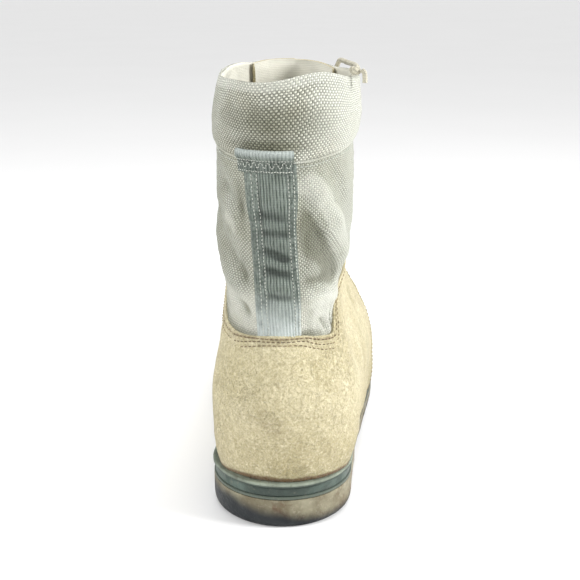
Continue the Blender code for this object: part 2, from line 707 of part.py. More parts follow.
def make_tongue(group):
    """The padded tongue behind the throat, from under the vamp to above the collar."""
    outer = lifted(-TONGUE_GAP)
    inner = lifted(-TONGUE_GAP - TONGUE_THICK)
    outer[-1, :, 2] += TONGUE_RISE
    inner[-1, :, 2] += TONGUE_RISE
    used = quads_between(row_of(EYESTAY_START), len(LEVELS) - 1, slice(0, FACING))
    used |= used[:, ::-1]
    place(shell("tongue", outer, inner, used), "tongue", "lining", group)


def make_eyestay(group):
    """The facing round the throat: both rows of eyelets and the piece below, in one."""
    inner = lifted(WALL + FIT_GAP)
    outer = lifted(WALL + FIT_GAP + EYESTAY_THICK)
    used = quads_between(row_of(EYESTAY_START), len(LEVELS) - 1, slice(0, FACING))
    used[row_of(THROAT_START):, 0] = False
    used |= used[:, ::-1]
    place(shell("eyestay", outer, inner, used), "eyestay", "suede", group)


def make_webbing(group):
    """The strap up the heel seam and the fold that ends it over the cuff's seam."""
    start = row_of(level_at_rise(COUNTER_RISE + STEP_RUN / 2))
    seam = row_of(level_at_rise(CUFF_RISE - HEM_HEIGHT))
    top = row_of(level_at_rise(CUFF_RISE + FOLD_RISE))
    base = WALL + FIT_GAP
    place(shell("backstay", lifted(base + WEBBING_THICK), lifted(base),
                quads_between(start, top, slice(MIDDLE - 2, MIDDLE + 2))),
          "backstay", "webbing", group)
    base = base + WEBBING_THICK + FIT_GAP
    bulge = np.zeros(WALL.shape)
    bulge[seam:top + 1] = np.linspace(0.5, 1.0, top + 1 - seam)[:, None] * FOLD_THICK
    place(shell("backstay_fold", lifted(base + bulge), lifted(base),
                quads_between(seam, top, slice(MIDDLE - 2, MIDDLE + 2))),
          "backstay_fold", "webbing", group)


# Eyelets and lace

THROAT_ROW = row_of(THROAT_START)
THROAT_LENGTHS = running_length(lifted(WALL)[THROAT_ROW:, 2])


def on_facing(column, lift, length):
    """Point and normal on a column of the lifted grid, at a length up the line of eyelets."""
    row = np.interp(length, THROAT_LENGTHS, np.arange(len(THROAT_LENGTHS)))
    rows = np.arange(len(THROAT_LENGTHS))
    line = lifted(lift)[THROAT_ROW:, column]
    normals = OUTWARD[THROAT_ROW:, column]
    point = np.array([np.interp(row, rows, line[:, axis]) for axis in range(3)])
    normal = np.array([np.interp(row, rows, normals[:, axis]) for axis in range(3)])
    return point, normal / np.linalg.norm(normal)


def eyelet_lengths():
    """Lengths up the facing at which the eyelets sit."""
    return np.linspace(EYELET_END_MARGIN, THROAT_LENGTHS[-1] - EYELET_END_MARGIN, EYELET_PAIRS)


def facing_lift(extra):
    """How far the middle of a thing lies over the last when it sits on the facing."""
    return WALL + 2 * FIT_GAP + EYESTAY_THICK + extra


def seat_rise(column, length):
    """How much higher an eyelet at this length sits, to clear the facing all round its ring.

    The facing's quads on both sides of the column are sampled in even shares. Of the samples
    under the ring's wire, the highest over the ring's own plane decides."""
    point, normal = on_facing(column, facing_lift(-FIT_GAP), length)
    facing = lifted(facing_lift(-FIT_GAP))[THROAT_ROW:, column - 1:column + 2]
    shares = np.linspace(0, 1, SEAT_SAMPLES)
    across = facing[:, :-1, None] + (facing[:, 1:] - facing[:, :-1])[:, :, None] * shares[:, None]
    samples = across[:-1, ..., None, :] + (across[1:] - across[:-1])[..., None, :] * shares[:, None]
    offsets = samples.reshape(-1, 3) - point
    heights = offsets @ normal
    reaches = np.linalg.norm(offsets - heights[:, None] * normal, axis=1)
    under = np.abs(reaches - EYELET_RADIUS) < EYELET_WIRE + FIT_GAP
    return max(0.0, float(heights[under].max()) + EYELET_SEAT_GAP - FIT_GAP)


def nearest_rise(column, length):
    """The rise of the eyelet that lies nearest to this length."""
    lengths = eyelet_lengths()
    return seat_rise(column, lengths[np.argmin(np.abs(lengths - length))])


def make_eyelets(group):
    """Rings along both facings, the lowest pair first."""
    major, minor = 12, 4
    bm = bmesh.new()
    rings = []
    for a in np.arange(major) * 2 * np.pi / major:
        wire = []
        for b in (np.arange(minor) + 0.5) * 2 * np.pi / minor:
            reach = EYELET_RADIUS + EYELET_WIRE * math.cos(b)
            wire.append(bm.verts.new((reach * math.cos(a), reach * math.sin(a), EYELET_WIRE * math.sin(b))))
        rings.append(wire)
    for wire, following in zip(rings, rings[1:] + rings[:1]):
        for j in range(minor):
            bm.faces.new([wire[j], following[j], following[(j + 1) % minor], wire[(j + 1) % minor]])
    mesh = mesh_from(bm, "eyelet")
    for label, column in (("lateral", LAST_COLUMN - 2), ("medial", 2)):
        for number, length in enumerate(eyelet_lengths(), start=1):
            point, normal = on_facing(column, facing_lift(EYELET_WIRE), length)
            point = point + normal * seat_rise(column, length)
            item = place(mesh, f"eyelet_{label}_{number}", "eyelet", group)
            item.location = point
            item.rotation_mode = "QUATERNION"
            item.rotation_quaternion = Vector(normal).to_track_quat("Z", "Y")


def bar_route(start, end, side):
    """Route of one bar of lace, from a facing at one height to the other at another."""
    over = 2 * EYELET_WIRE + 3 * FIT_GAP + LACE_DIAMETER / 2
    low = LACE_OVER_TONGUE + LACE_DIAMETER / 2
    columns = (LAST_COLUMN - 2, LAST_COLUMN - 1, 0, 1, 2)[::side]
    first, last = nearest_rise(columns[0], start), nearest_rise(columns[-1], end)
    lifts = (facing_lift(over + first), facing_lift(0.9 * over + first), low,
             facing_lift(0.9 * over + last), facing_lift(over + last))
    route = [on_facing(column, lift, start + (end - start) * k / 4)[0]
             for k, (column, lift) in enumerate(zip(columns, lifts))]
    return smooth_route(route, 9)


def make_lace(group, cutters):
    """A bar at the bottom, a crossing over each gap, and the outer end with its knot."""
    lengths = eyelet_lengths()
    clear = LACE_DIAMETER / 2 + 2 * FIT_GAP
    low = lengths[0] - clear
    place(tube_mesh("lace_bar", bar_route(low, low, 1)), "lace_bar", "lace", group)
    for number, (low, high) in enumerate(zip(lengths + clear, lengths[1:] - clear), start=1):
        name = f"lace_crossing_{number}"
        crossing = place(tube_mesh(name, bar_route(low, high, 1)), name, "lace", group)
        cut(crossing, tube_mesh(f"lace_under_{number}", bar_route(low, high, -1)), cutters, "UNION")
    place(tube_mesh("lace_end_lateral", smooth_route(LACE_END_ROUTE, 15)),
          "lace_end_lateral", "lace", group)
    place(tube_mesh("lace_tail_lateral", smooth_route(LACE_TAIL_ROUTE, 5)),
          "lace_tail_lateral", "lace", group)
    bm = bmesh.new()
    bmesh.ops.create_uvsphere(bm, u_segments=10, v_segments=7, radius=KNOT_DIAMETER / 2)
    knot = place(mesh_from(bm, "lace_knot"), "lace_knot", "lace", group)
    knot.location = KNOT_PLACE


def main():
    """Build the boot."""
    clear_scene()
    group = collection("combat_boot")
    cutters = collection("cutters")
    make_sole(group, cutters)
    make_insole(group)
    make_upper(group)
    make_tongue(group)
    make_eyestay(group)
    make_webbing(group)
    make_eyelets(group)
    make_lace(group, cutters)


if __name__ == "__main__":
    main()
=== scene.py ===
"""Looks of a combat boot: suede foot, canvas shaft, padded cuff, webbing and rubber sole."""
import math

import bpy
import numpy as np
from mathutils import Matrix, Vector


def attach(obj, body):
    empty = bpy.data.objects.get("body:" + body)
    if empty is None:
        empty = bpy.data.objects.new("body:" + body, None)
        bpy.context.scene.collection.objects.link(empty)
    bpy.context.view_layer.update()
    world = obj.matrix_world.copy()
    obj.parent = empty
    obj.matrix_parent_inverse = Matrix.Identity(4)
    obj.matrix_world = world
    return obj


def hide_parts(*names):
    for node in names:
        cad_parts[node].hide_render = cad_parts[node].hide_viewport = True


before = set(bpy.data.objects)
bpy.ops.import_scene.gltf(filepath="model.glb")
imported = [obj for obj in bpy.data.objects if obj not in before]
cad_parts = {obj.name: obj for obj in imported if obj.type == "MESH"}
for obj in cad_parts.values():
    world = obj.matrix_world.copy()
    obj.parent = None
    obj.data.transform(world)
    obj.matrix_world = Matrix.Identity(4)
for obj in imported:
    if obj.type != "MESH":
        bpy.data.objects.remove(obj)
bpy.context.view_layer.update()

bl_info = {
    "name": "Combat boot",
    "version": (1, 0, 0),
    "blender": (4, 5, 0),
    "location": "3D View > Sidebar > Boot",
    "description": "Dresses the right combat boot: suede, canvas, webbing, lace and sole",
    "category": "Object",
}

MM = 0.001

# Sizes of the solids that the dressed pieces follow, as in the part's own source
SOLE_LENGTH = 306 * MM
HEEL_ROUND = 39 * MM
TOE_ROUND = 66 * MM
SOLE_HEEL_HALF = 39 * MM
SOLE_WAIST_OUT = 44 * MM
SOLE_WAIST_IN = 34 * MM
SOLE_BALL_OUT = 51 * MM
SOLE_BALL_IN = 52 * MM
SOLE_TOE_OUT = 47 * MM
SOLE_TOE_IN = 46 * MM
TIP_SHIFT = -7 * MM
HEEL_STACK = 26 * MM
BALL_STACK = 16 * MM
TOE_SPRING = 10 * MM
SPRING_START = 0.70
WELT_THICK = 2.4 * MM
MIDSOLE_THICK = 6.6 * MM
MIDSOLE_INSET = 1.2 * MM
HEEL_EDGE_ROUND = 3.2 * MM
HEEL_BLOCK_LENGTH = 76 * MM
ARCH_LENGTH = 56 * MM
ARCH_FALL_START = 0.35
SHANK_THICK = 4.0 * MM
LUG_DEPTH = 3.2 * MM
CHANNEL_DEPTH = 2.6 * MM
LUG_GAP = 4.2 * MM
LUG_PITCH = 15 * MM
FOREFOOT_GROOVES = 8
HEEL_GROOVES = 3
FIRST_GROOVE = 0.9
HEEL_LUG_RIM = 10 * MM
WELT_LEDGE = 3.2 * MM
LAST_HEEL_HALF = 38 * MM
LAST_WAIST_OUT = 42 * MM
LAST_WAIST_IN = 34 * MM
LAST_BALL_OUT = 48 * MM
LAST_BALL_IN = 47 * MM
LAST_TOE_HALF = 42 * MM
COUNTER_RISE = 77 * MM
INSTEP_RISE = 101 * MM
COLLAR_RISE = 206 * MM
SHAFT_HALF = 38 * MM
SHAFT_DEPTH = 122 * MM
CUFF_HEIGHT = 37 * MM
SUEDE_WALL = 3.2 * MM
CANVAS_WALL = 1.8 * MM
FIT_GAP = 0.3 * MM
THROAT_GAP_LOW = 8 * MM
THROAT_GAP_TOP = 13 * MM
TONGUE_THICK = 4.0 * MM
TONGUE_RISE = 2 * MM
TONGUE_GAP = 0.6 * MM
EYESTAY_WIDTH = 23 * MM
EYESTAY_THICK = 1.6 * MM
EYELET_INSET = 11 * MM
EYELET_PAIRS = 8
EYELET_END_MARGIN = 12 * MM
WEBBING_LEAN = -4.5 * MM
FOLD_SHIFT = 2.2 * MM
INSOLE_THICK = 4.0 * MM
INSOLE_CLEARANCE = 2.8 * MM

HEEL_END = -HEEL_ROUND
LAST_INSET = WELT_LEDGE + SUEDE_WALL
LAST_START = HEEL_END + LAST_INSET
LAST_LENGTH = SOLE_LENGTH - 2 * LAST_INSET
HEEL_BREAST = HEEL_END + HEEL_BLOCK_LENGTH
FOREFOOT_START = HEEL_BREAST + ARCH_LENGTH
CUFF_RISE = COLLAR_RISE - CUFF_HEIGHT

STATIONS = (0.0, 0.14, 0.42, 0.68, 0.88, 1.0)
SOLE_TOP = (
    (0.00, 1.00, 0.00, 0.00),
    (0.22, 0.97, 0.00, 0.00),
    (0.36, 0.50, 0.45, 0.00),
    (0.50, 0.12, 0.90, 0.00),
    (0.65, 0.00, 1.00, 0.00),
    (0.80, 0.00, 1.00, 0.22),
    (0.90, 0.00, 1.00, 0.58),
    (1.00, 0.00, 1.00, 1.05),
)

# Rings of the last, as shares of the sizes above: back and front rise, back and front
# place, tip, half widths (outer and inner at heel, waist, ball and toe), rounds, follow
FOOT_RINGS = (
    (0.000, 0.00, 0.000, 1.000, 1.0, 0.92, 0.86, 0.99, 0.77, 0.96, 0.96, 1.00, 0.95, 1.00, 1.00, 1.00),
    (0.127, 0.11, -0.007, 1.008, 1.0, 1.00, 0.91, 1.03, 0.87, 0.99, 1.00, 1.02, 0.98, 1.02, 0.98, 0.85),
    (0.266, 0.24, -0.010, 1.005, 0.9, 1.03, 0.93, 1.04, 0.93, 0.97, 1.01, 0.98, 0.97, 1.04, 0.94, 0.55),
    (0.405, 0.37, -0.010, 0.957, 0.8, 1.04, 0.93, 1.03, 0.95, 0.90, 0.97, 0.90, 0.91, 1.06, 0.90, 0.30),
    (0.544, 0.48, -0.008, 0.869, 0.6, 1.02, 0.92, 0.98, 0.95, 0.80, 0.91, 0.80, 0.85, 1.08, 0.84, 0.15),
    (0.671, 0.62, -0.001, 0.760, 0.4, 0.94, 0.89, 0.88, 0.94, 0.68, 0.84, 0.70, 0.80, 1.10, 0.78, 0.05),
    (0.785, 0.80, 0.010, 0.651, 0.2, 0.83, 0.84, 0.75, 0.94, 0.59, 0.78, 0.62, 0.74, 1.12, 0.74, 0.00),
    (0.899, 1.00, 0.022, 0.559, 0.1, 0.72, 0.79, 0.66, 0.94, 0.57, 0.74, 0.58, 0.70, 1.15, 0.72, 0.00),
)

# Rings up the shaft: back and front rise, back, depth, half widths (outer and inner at
# heel, middle and front), brow, back and front round
SHAFT_RINGS = (
    (0.000, 0.330, 0.082, 1.107, 0.66, 0.74, 0.73, 0.86, 0.73, 0.82, 0.69, 0.34, 0.36),
    (0.134, 0.430, 0.090, 1.033, 0.76, 0.84, 0.82, 0.92, 0.80, 0.87, 0.73, 0.36, 0.37),
    (0.276, 0.530, 0.082, 0.996, 0.85, 0.88, 0.90, 0.94, 0.87, 0.89, 0.76, 0.38, 0.38),
    (0.417, 0.634, 0.057, 0.996, 0.87, 0.89, 0.90, 0.93, 0.88, 0.90, 0.78, 0.40, 0.39),
    (0.567, 0.730, 0.033, 1.000, 0.87, 0.89, 0.87, 0.92, 0.87, 0.89, 0.78, 0.41, 0.40),
    (0.709, 0.828, 0.016, 1.008, 0.86, 0.88, 0.88, 0.91, 0.87, 0.88, 0.77, 0.41, 0.40),
    (0.858, 0.922, 0.008, 1.008, 0.89, 0.86, 0.92, 0.87, 0.90, 0.85, 0.77, 0.42, 0.40),
    (1.000, 1.010, 0.008, 1.000, 0.90, 0.84, 0.93, 0.84, 0.91, 0.83, 0.77, 0.42, 0.40),
)
SUEDE_TOP = float(len(FOOT_RINGS))
COLLAR_TOP = float(len(FOOT_RINGS) + len(SHAFT_RINGS) - 1)
EYESTAY_START = 5.6
THROAT_START = 6.3
LEAN_END = COLLAR_TOP - 2

# The loose end of the lace and its tail, on the solids' routes
LACE_END_ROUTE = (
    (0.0241, 0.0814, 0.2282), (0.0246, 0.0806, 0.2308), (0.0256, 0.0786, 0.2333), (0.0265, 0.0755, 0.2352),
    (0.0275, 0.0710, 0.2358), (0.0313, 0.0605, 0.2354), (0.0354, 0.0480, 0.2351), (0.0370, 0.0350, 0.2349),
    (0.0371, 0.0220, 0.2348), (0.0367, 0.0100, 0.2347), (0.0364, 0.0042, 0.2349),
)
KNOT_PLACE = (0.0364, 0.0006, 0.2362)
LACE_TAIL_ROUTE = (
    (0.0399, -0.0008, 0.2364), (0.0409, -0.0017, 0.2355),
    (0.0413, -0.0023, 0.2332), (0.0414, -0.0027, 0.2303),
)

# The suede's upper edge: distance round the ring from the heel seam, and height
EDGE_OUTER = ((0, 104.2), (10, 103.6), (24, 101.4), (33, 100.0), (37, 101.0), (40, 105.5), (43.5, 112.9),
              (46.5, 120.0), (50, 126.0), (58, 130.0), (78, 135), (95, 143), (106, 153), (115, 168),
              (124, 195), (136, 232))
EDGE_INNER = ((0, 104.2), (14, 102.6), (24, 102.4), (40, 104.0), (54, 107.4), (70, 114), (85, 124),
              (98, 137), (108, 154), (117, 180), (124, 205), (134, 232))

# Where the quarters' front edge runs: level, and share of the half ring from the heel
QUARTER_FRONT = ((0.0, 0.50), (1.0, 0.515), (2.0, 0.55), (3.0, 0.61), (4.0, 0.70), (5.0, 0.82), (5.8, 0.91),
                 (6.4, 0.95), (7.5, 0.99), (15.0, 0.99))

# Folds of the canvas, in millimetres: place round the ring and height of both ends, how
# far it stands out, and its half width
CANVAS_FOLDS = (
    (15, 176, 22, 152, -2.2, 4.2), (22, 152, 40, 129, -3.9, 5.2), (20, 188, 36, 162, 2.0, 4.6),
    (36, 162, 52, 140, 2.0, 5.0), (14, 123, 40, 119, 2.8, 4.2), (14, 132, 42, 128, -1.8, 2.2),
    (34, 190, 44, 172, -0.9, 2.4), (42, 192, 50, 176, 0.8, 2.6), (28, 196, 33, 184, -0.6, 2.0),
    (35.5, 112, 37.2, 100, -2.6, 1.0), (32, 111, 33, 103, 1.4, 1.8), (26, 108, 30, 104, -1.1, 1.0),
    (23, 111, 30, 109, 0.8, 1.2), (20, 106, 25, 103, 0.6, 1.1), (-38, 180, -15, 167, -2.4, 4.0),
    (-40, 166, -16, 154, 0.9, 4.5), (-38, 147, -15, 131, -2.5, 3.8), (-44, 135, -18, 124, 1.2, 3.6),
    (-48, 125, -16, 113, -2.2, 3.0), (-40, 116, -16, 108, 0.8, 2.6), (16, 112, 30, 108, -0.8, 2.0),
    (66, 150, 96, 178, -1.4, 5.0), (60, 168, 92, 192, 0.9, 5.0), (-66, 124, -96, 158, -1.5, 4.6),
    (-58, 140, -92, 176, 1.0, 5.0), (-60, 160, -90, 192, -1.1, 5.0),
)

# Painted shading of the canvas, partly dirt, laid out like the folds: painted shade, darker where positive,
# and painted highlight where negative
CANVAS_PAINTED_SHADING = (
    (19, 160, 37, 131, 0.62, 6.4), (17, 182, 44, 150, -0.85, 4.8), (-30, 168, -17, 150, -0.35, 4.0),
    (-22, 122, -17, 108, 0.30, 3.0), (35.0, 111, 36.4, 103, 1.5, 0.7), (27, 109, 29.5, 105, 0.55, 1.3),
    (23, 111.5, 31, 110.5, -0.5, 1.2), (22, 106, 25, 103, 0.35, 1.0),
)

# Creases across the webbing, in millimetres: place and height of both ends, how far each
# stands out, and its half width
WEBBING_CREASES = (
    (-3.5, 168.3, 5.0, 167.0, -0.70, 2.3), (-3.5, 163.5, 5.0, 162.8, 0.55, 1.7),
    (-3.0, 159.4, 5.5, 158.6, -0.75, 1.9), (-3.5, 154.4, 5.0, 153.0, 0.55, 1.7),
    (-3.0, 149.6, 3.5, 145.6, -0.95, 2.0), (2.0, 146.0, 6.0, 145.0, -0.60, 1.7),
    (-3.5, 144.4, 5.0, 141.4, 0.60, 1.5), (-3.0, 138.8, 6.0, 136.8, -0.95, 2.1),
    (-4.0, 130.4, 5.0, 129.0, 0.65, 2.2), (-2.5, 124.8, 5.0, 124.0, -0.80, 1.7),
    (-6.0, 117.0, 6.0, 117.0, 0.50, 4.0),
)

# Seams under the suede's top edge, in millimetres: depth, thread and reach round the ring
TOP_SEAMS = (
    (2.9, "thread_dark", -29, 37), (2.9, "thread_sand", -100, -30), (2.9, "thread_sand", 38, 104),
    (6.2, "thread_dark", -27, 36), (6.2, "thread_sand", -100, -28), (6.2, "thread_sand", 37, 104),
    (9.6, "thread_dark", -22, 34),
)

# Painted shade in the seams' grooves, partly dirt, beside each of those seams: depth, darkness and half
# width
SEAM_SHADES = ((2.9, 0.70, 1.3), (6.2, 0.42, 0.9), (9.6, 0.34, 0.8))

# Height of the quarters' painted map, height of a level there, and how many hairs
QUARTER_HEIGHT = 112 * MM
LEVEL_HEIGHT = 13.2 * MM
HAIR_COUNT = 900

# Seams up the strap: place and groove's half width. Seams across its fold: height, swing
# of the zigzag and its count
STRAP_SEAMS = ((-8.0, 0.4), (-5.2, 0.4), (8.6, 0.4), (11.0, 0.35))
FOLD_SEAMS = ((196.2, 0.1, 9), (193.9, 1.4, 8), (190.8, 0.3, 9))

# The photograph's camera, and the boot's place and height in the picture in pixels
CAMERA_PLACE = (0.0425, -0.5215, 0.281)
CAMERA_TURN = math.radians(8.5)
CAMERA_SLANT = math.radians(18.3)
SENSOR_WIDTH = 36.0
PHOTO_FOCAL = 821.0
PHOTO_RIGHT = 58.5
PHOTO_UP = 18.0
PHOTO_BOOT_HEIGHT = 376.0

# Light panels: name, place, size and power. Then the sun, the sky and the floor
PANELS = (
    ("light_outer", (0.95, -0.10, 0.62), 0.40, 14.0),
    ("light_inner", (-0.85, -0.45, 0.75), 0.6, 9.5),
    ("light_fill", (0.1, -1.3, 0.7), 0.7, 2.0),
)
PANEL_TARGET = (0.0, 0.05, 0.11)
SUN_POWER = 1.9
SUN_SPREAD = math.radians(50)
SUN_DIRECTION = (-0.08, -0.27, -0.96)
SKY_AT_HORIZON = 0.86
SKY_ABOVE = 0.33
SKY_FADE_END = 0.35
FLOOR_HALF = 20.0


# Sizes and colours that a user may change

def size_property(label, words, size, low, high):
    """A size that a user may change, in metres."""
    return bpy.props.FloatProperty(
        name=label, description=words, default=size, min=low, max=high, unit="LENGTH", precision=5)


class BootSizes(bpy.types.PropertyGroup):
    """Sizes of the cloth, thread and lace."""
    canvas_pitch: size_property("Canvas pitch", "Distance from thread to thread in the canvas",
                                0.00105, 0.0005, 0.005)
    cuff_pitch: size_property("Cuff pitch", "Distance from thread to thread in the cuff's cloth",
                              0.00100, 0.0005, 0.005)
    webbing_width: size_property("Webbing width", "Width of the strap up the heel seam", 0.0254, 0.01, 0.04)
    webbing_thick: size_property("Webbing thickness", "Thickness of the strap up the heel seam",
                                 0.0012, 0.0005, 0.003)
    rib_pitch: size_property("Rib pitch", "Distance from rib to rib across the webbing",
                             0.00138, 0.0008, 0.004)
    lace_diameter: size_property("Lace diameter", "Diameter of the round lace", 0.0028, 0.0015, 0.005)
    stitch_length: size_property("Stitch length", "Distance from needle hole to needle hole",
                                 0.0027, 0.001, 0.006)
    thread_radius: size_property("Thread radius", "Radius of the sewing thread", 0.00032, 0.0001, 0.001)
    hair_length: size_property("Nap length", "Length of the loose hairs along the suede's lower edge",
                               0.0022, 0.0, 0.006)
    view_share: bpy.props.FloatProperty(
        name="Share of the view", description="How much of the picture's height the boot fills",
        default=0.81, min=0.3, max=0.95, subtype="FACTOR")


def colour_property(label, words, colour):
    """A colour that a user may change, in linear red, green and blue."""
    return bpy.props.FloatVectorProperty(
        name=label, description=words, default=colour, min=0.0, max=1.0, size=3, subtype="COLOR")


class BootColours(bpy.types.PropertyGroup):
    """Colours of the materials."""
    suede: colour_property("Suede", "Main colour of the suede", (0.635, 0.570, 0.372))
    suede_dark: colour_property("Suede, rubbed", "Worn and rubbed suede", (0.555, 0.490, 0.290))
    suede_shade: colour_property("Suede shade", "Nap brushed away from the light", (0.36, 0.305, 0.165))
    suede_light: colour_property("Suede light", "Nap brushed into the light", (0.86, 0.79, 0.57))
    suede_green: colour_property("Suede smudge", "Greenish smudges on the suede", (0.34, 0.32, 0.17))
    # The brown of the suede's dirt, also used for painted shade along its lower edge and beside its seams
    suede_dirt_and_shade: colour_property("Suede dirt and shade", "Brown dirt on the suede", (0.15, 0.085, 0.035))
    canvas_light: colour_property("Canvas weft", "Pale threads of the canvas", (0.635, 0.65, 0.56))
    canvas_dark: colour_property("Canvas warp", "Darker threads of the canvas", (0.25, 0.257, 0.205))
    cuff_light: colour_property("Cuff weft", "Pale threads of the cuff's cloth", (0.76, 0.77, 0.67))
    cuff_dark: colour_property("Cuff warp", "Darker threads of the cuff's cloth", (0.21, 0.217, 0.17))
    webbing: colour_property("Webbing", "Colour of the webbing's ribs", (0.235, 0.27, 0.23))
    webbing_dark: colour_property("Webbing shade", "Grooves and grime of the webbing", (0.075, 0.095, 0.08))
    webbing_light: colour_property("Webbing wear", "Rubbed threads of the webbing", (0.33, 0.375, 0.34))
    webbing_pale: colour_property("Webbing ends", "Paler ends of the webbing", (0.56, 0.61, 0.59))
    lining: colour_property("Lining", "Smooth cloth inside the shaft", (0.76, 0.745, 0.65))
    welt: colour_property("Welt", "Pale ledge over the sole's edge", (0.27, 0.31, 0.245))
    midsole: colour_property("Midsole", "Dark band of the sole", (0.034, 0.050, 0.041))
    midsole_lip: colour_property("Midsole lip", "Paler line under the dark band", (0.085, 0.105, 0.082))
    heel: colour_property("Heel block", "Dusty rubber of the heel", (0.150, 0.128, 0.078))
    heel_light: colour_property("Heel dust", "Paler dust on the heel", (0.265, 0.245, 0.165))
    heel_red: colour_property("Heel dirt", "Reddish dirt on the heel", (0.115, 0.066, 0.036))
    heel_dark: colour_property("Heel edge", "Dark edge near the floor", (0.010, 0.014, 0.018))
    thread_light: colour_property("Pale thread", "Thread on webbing and canvas", (0.62, 0.64, 0.58))
    thread_dark: colour_property("Dark thread", "Dark seams and hairs of the suede", (0.235, 0.175, 0.105))
    thread_sand: colour_property("Sand thread", "Thread in the suede's seams", (0.50, 0.42, 0.27))
    lace: colour_property("Lace", "Colour of the lace", (0.60, 0.57, 0.45))
    eyelet: colour_property("Eyelet", "Painted metal of the eyelets", (0.26, 0.27, 0.21))
    insole: colour_property("Insole", "Cloth on the insole", (0.09, 0.10, 0.085))
    floor: colour_property("Floor", "Pale floor", (0.86, 0.86, 0.86))


def sizes():
    """The scene's sizes."""
    return bpy.context.scene.boot_sizes


def colours():
    """The scene's colours."""
    return bpy.context.scene.boot_colours


# Curves and the last's form

def curve_through(places, values, at):
    """Smooth curves through (places, values), read at the places in at.

    Between two places the value is a cubic: the two values weighted by 2t^3 - 3t^2 + 1 and
    its rest, plus the two slopes weighted by t^3 - 2t^2 + t and t^3 - t^2. Values may hold
    a row for each of many curves."""
    places = np.asarray(places, float)
    values = np.asarray(values, float)
    slopes = np.gradient(values, places, axis=-1)
    at = np.clip(at, places[0], places[-1])
    left = np.clip(np.searchsorted(places, at, side="right") - 1, 0, len(places) - 2)
    run = places[left + 1] - places[left]
    t = (at - places[left]) / run
    return ((2 * t**3 - 3 * t**2 + 1) * values[..., left] + (t**3 - 2 * t**2 + t) * run * slopes[..., left]
            + (3 * t**2 - 2 * t**3) * values[..., left + 1] + (t**3 - t**2) * run * slopes[..., left + 1])


def cosine_steps(count):
    """Shares from 0 to 1 that lie closer together towards both ends."""
    return (1 - np.cos(np.linspace(0, np.pi, count))) / 2


def unit(vectors):
    """Vectors of length one in the same directions."""
    return vectors / np.linalg.norm(vectors, axis=-1, keepdims=True)


def lengths_along(points, axis=0):
    """Lengths run along rows of points, from 0 at the first point."""
    steps = np.linalg.norm(np.diff(points, axis=axis), axis=-1)
    start = np.zeros_like(np.take(steps, [0], axis=axis))
    return np.concatenate([start, np.cumsum(steps, axis=axis)], axis=axis)


def smooth(low, high, value):
    """Rises from 0 at low to 1 at high as 3t^2 - 2t^3."""
    t = np.clip((np.asarray(value, float) - low) / (high - low), 0, 1)
    return t * t * (3 - 2 * t)


def hump(value, middle, width):
    """A bell: e to the minus half the square of the distance in widths."""
    return np.exp(-0.5 * ((value - middle) / width) ** 2)


def uneven(a, b, scale, seed, count=9):
    """A smooth uneven field of two coordinates, about -1 to 1.

    It is a sum of sine waves whose directions, lengths and phases are drawn from a seed."""
    draw = np.random.default_rng(seed)
    field = np.zeros(np.broadcast(a, b).shape)
    for angle, stretch, phase in zip(draw.uniform(0, np.pi, count), draw.uniform(0.6, 1.8, count),
                                     draw.uniform(0, 2 * np.pi, count)):
        run = a * math.cos(angle) + b * math.sin(angle)
        field += np.sin(run * stretch * 2 * np.pi / scale + phase)
    return field / math.sqrt(count)


def sole_top(y):
    """Height of the sole's top face at y."""
    rows = np.array(SOLE_TOP)
    heights = rows[:, 1] * HEEL_STACK + rows[:, 2] * BALL_STACK + rows[:, 3] * TOE_SPRING
    return curve_through(rows[:, 0], heights, (np.asarray(y) - HEEL_END) / SOLE_LENGTH)


def sole_bottom(y):
    """Height of the tread at y: zero, then the spring's square rise under the toe."""
    start = HEEL_END + SPRING_START * SOLE_LENGTH
    return TOE_SPRING * np.clip((np.asarray(y) - start) / (HEEL_END + SOLE_LENGTH - start), 0, 1) ** 2


def rounded_half(along, length, width, heel_round, toe_round):
    """A half width that closes in a quarter ellipse over each end's round."""
    heel = np.sqrt(1 - (1 - np.clip(along / heel_round, 0, 1)) ** 2)
    toe = np.sqrt(1 - (1 - np.clip((length - along) / toe_round, 0, 1)) ** 2)
    return width * heel * toe


def sole_outline(inset, share, side):
    """x and y of the sole's outline moved in by inset; inset and share may be arrays."""
    halves = ((SOLE_HEEL_HALF, SOLE_HEEL_HALF, SOLE_WAIST_OUT, SOLE_BALL_OUT, SOLE_TOE_OUT, SOLE_TOE_OUT)
              if side > 0 else
              (SOLE_HEEL_HALF, SOLE_HEEL_HALF, SOLE_WAIST_IN, SOLE_BALL_IN, SOLE_TOE_IN, SOLE_TOE_IN))
    length = SOLE_LENGTH - 2 * inset
    width = curve_through(STATIONS, np.array(halves), share) - inset
    half = rounded_half(share * length, length, width, HEEL_ROUND - inset, TOE_ROUND - inset)
    tip = TIP_SHIFT * np.clip(2 * share - 1, 0, 1) ** 2
    return tip + side * half, HEEL_END + inset + share * length


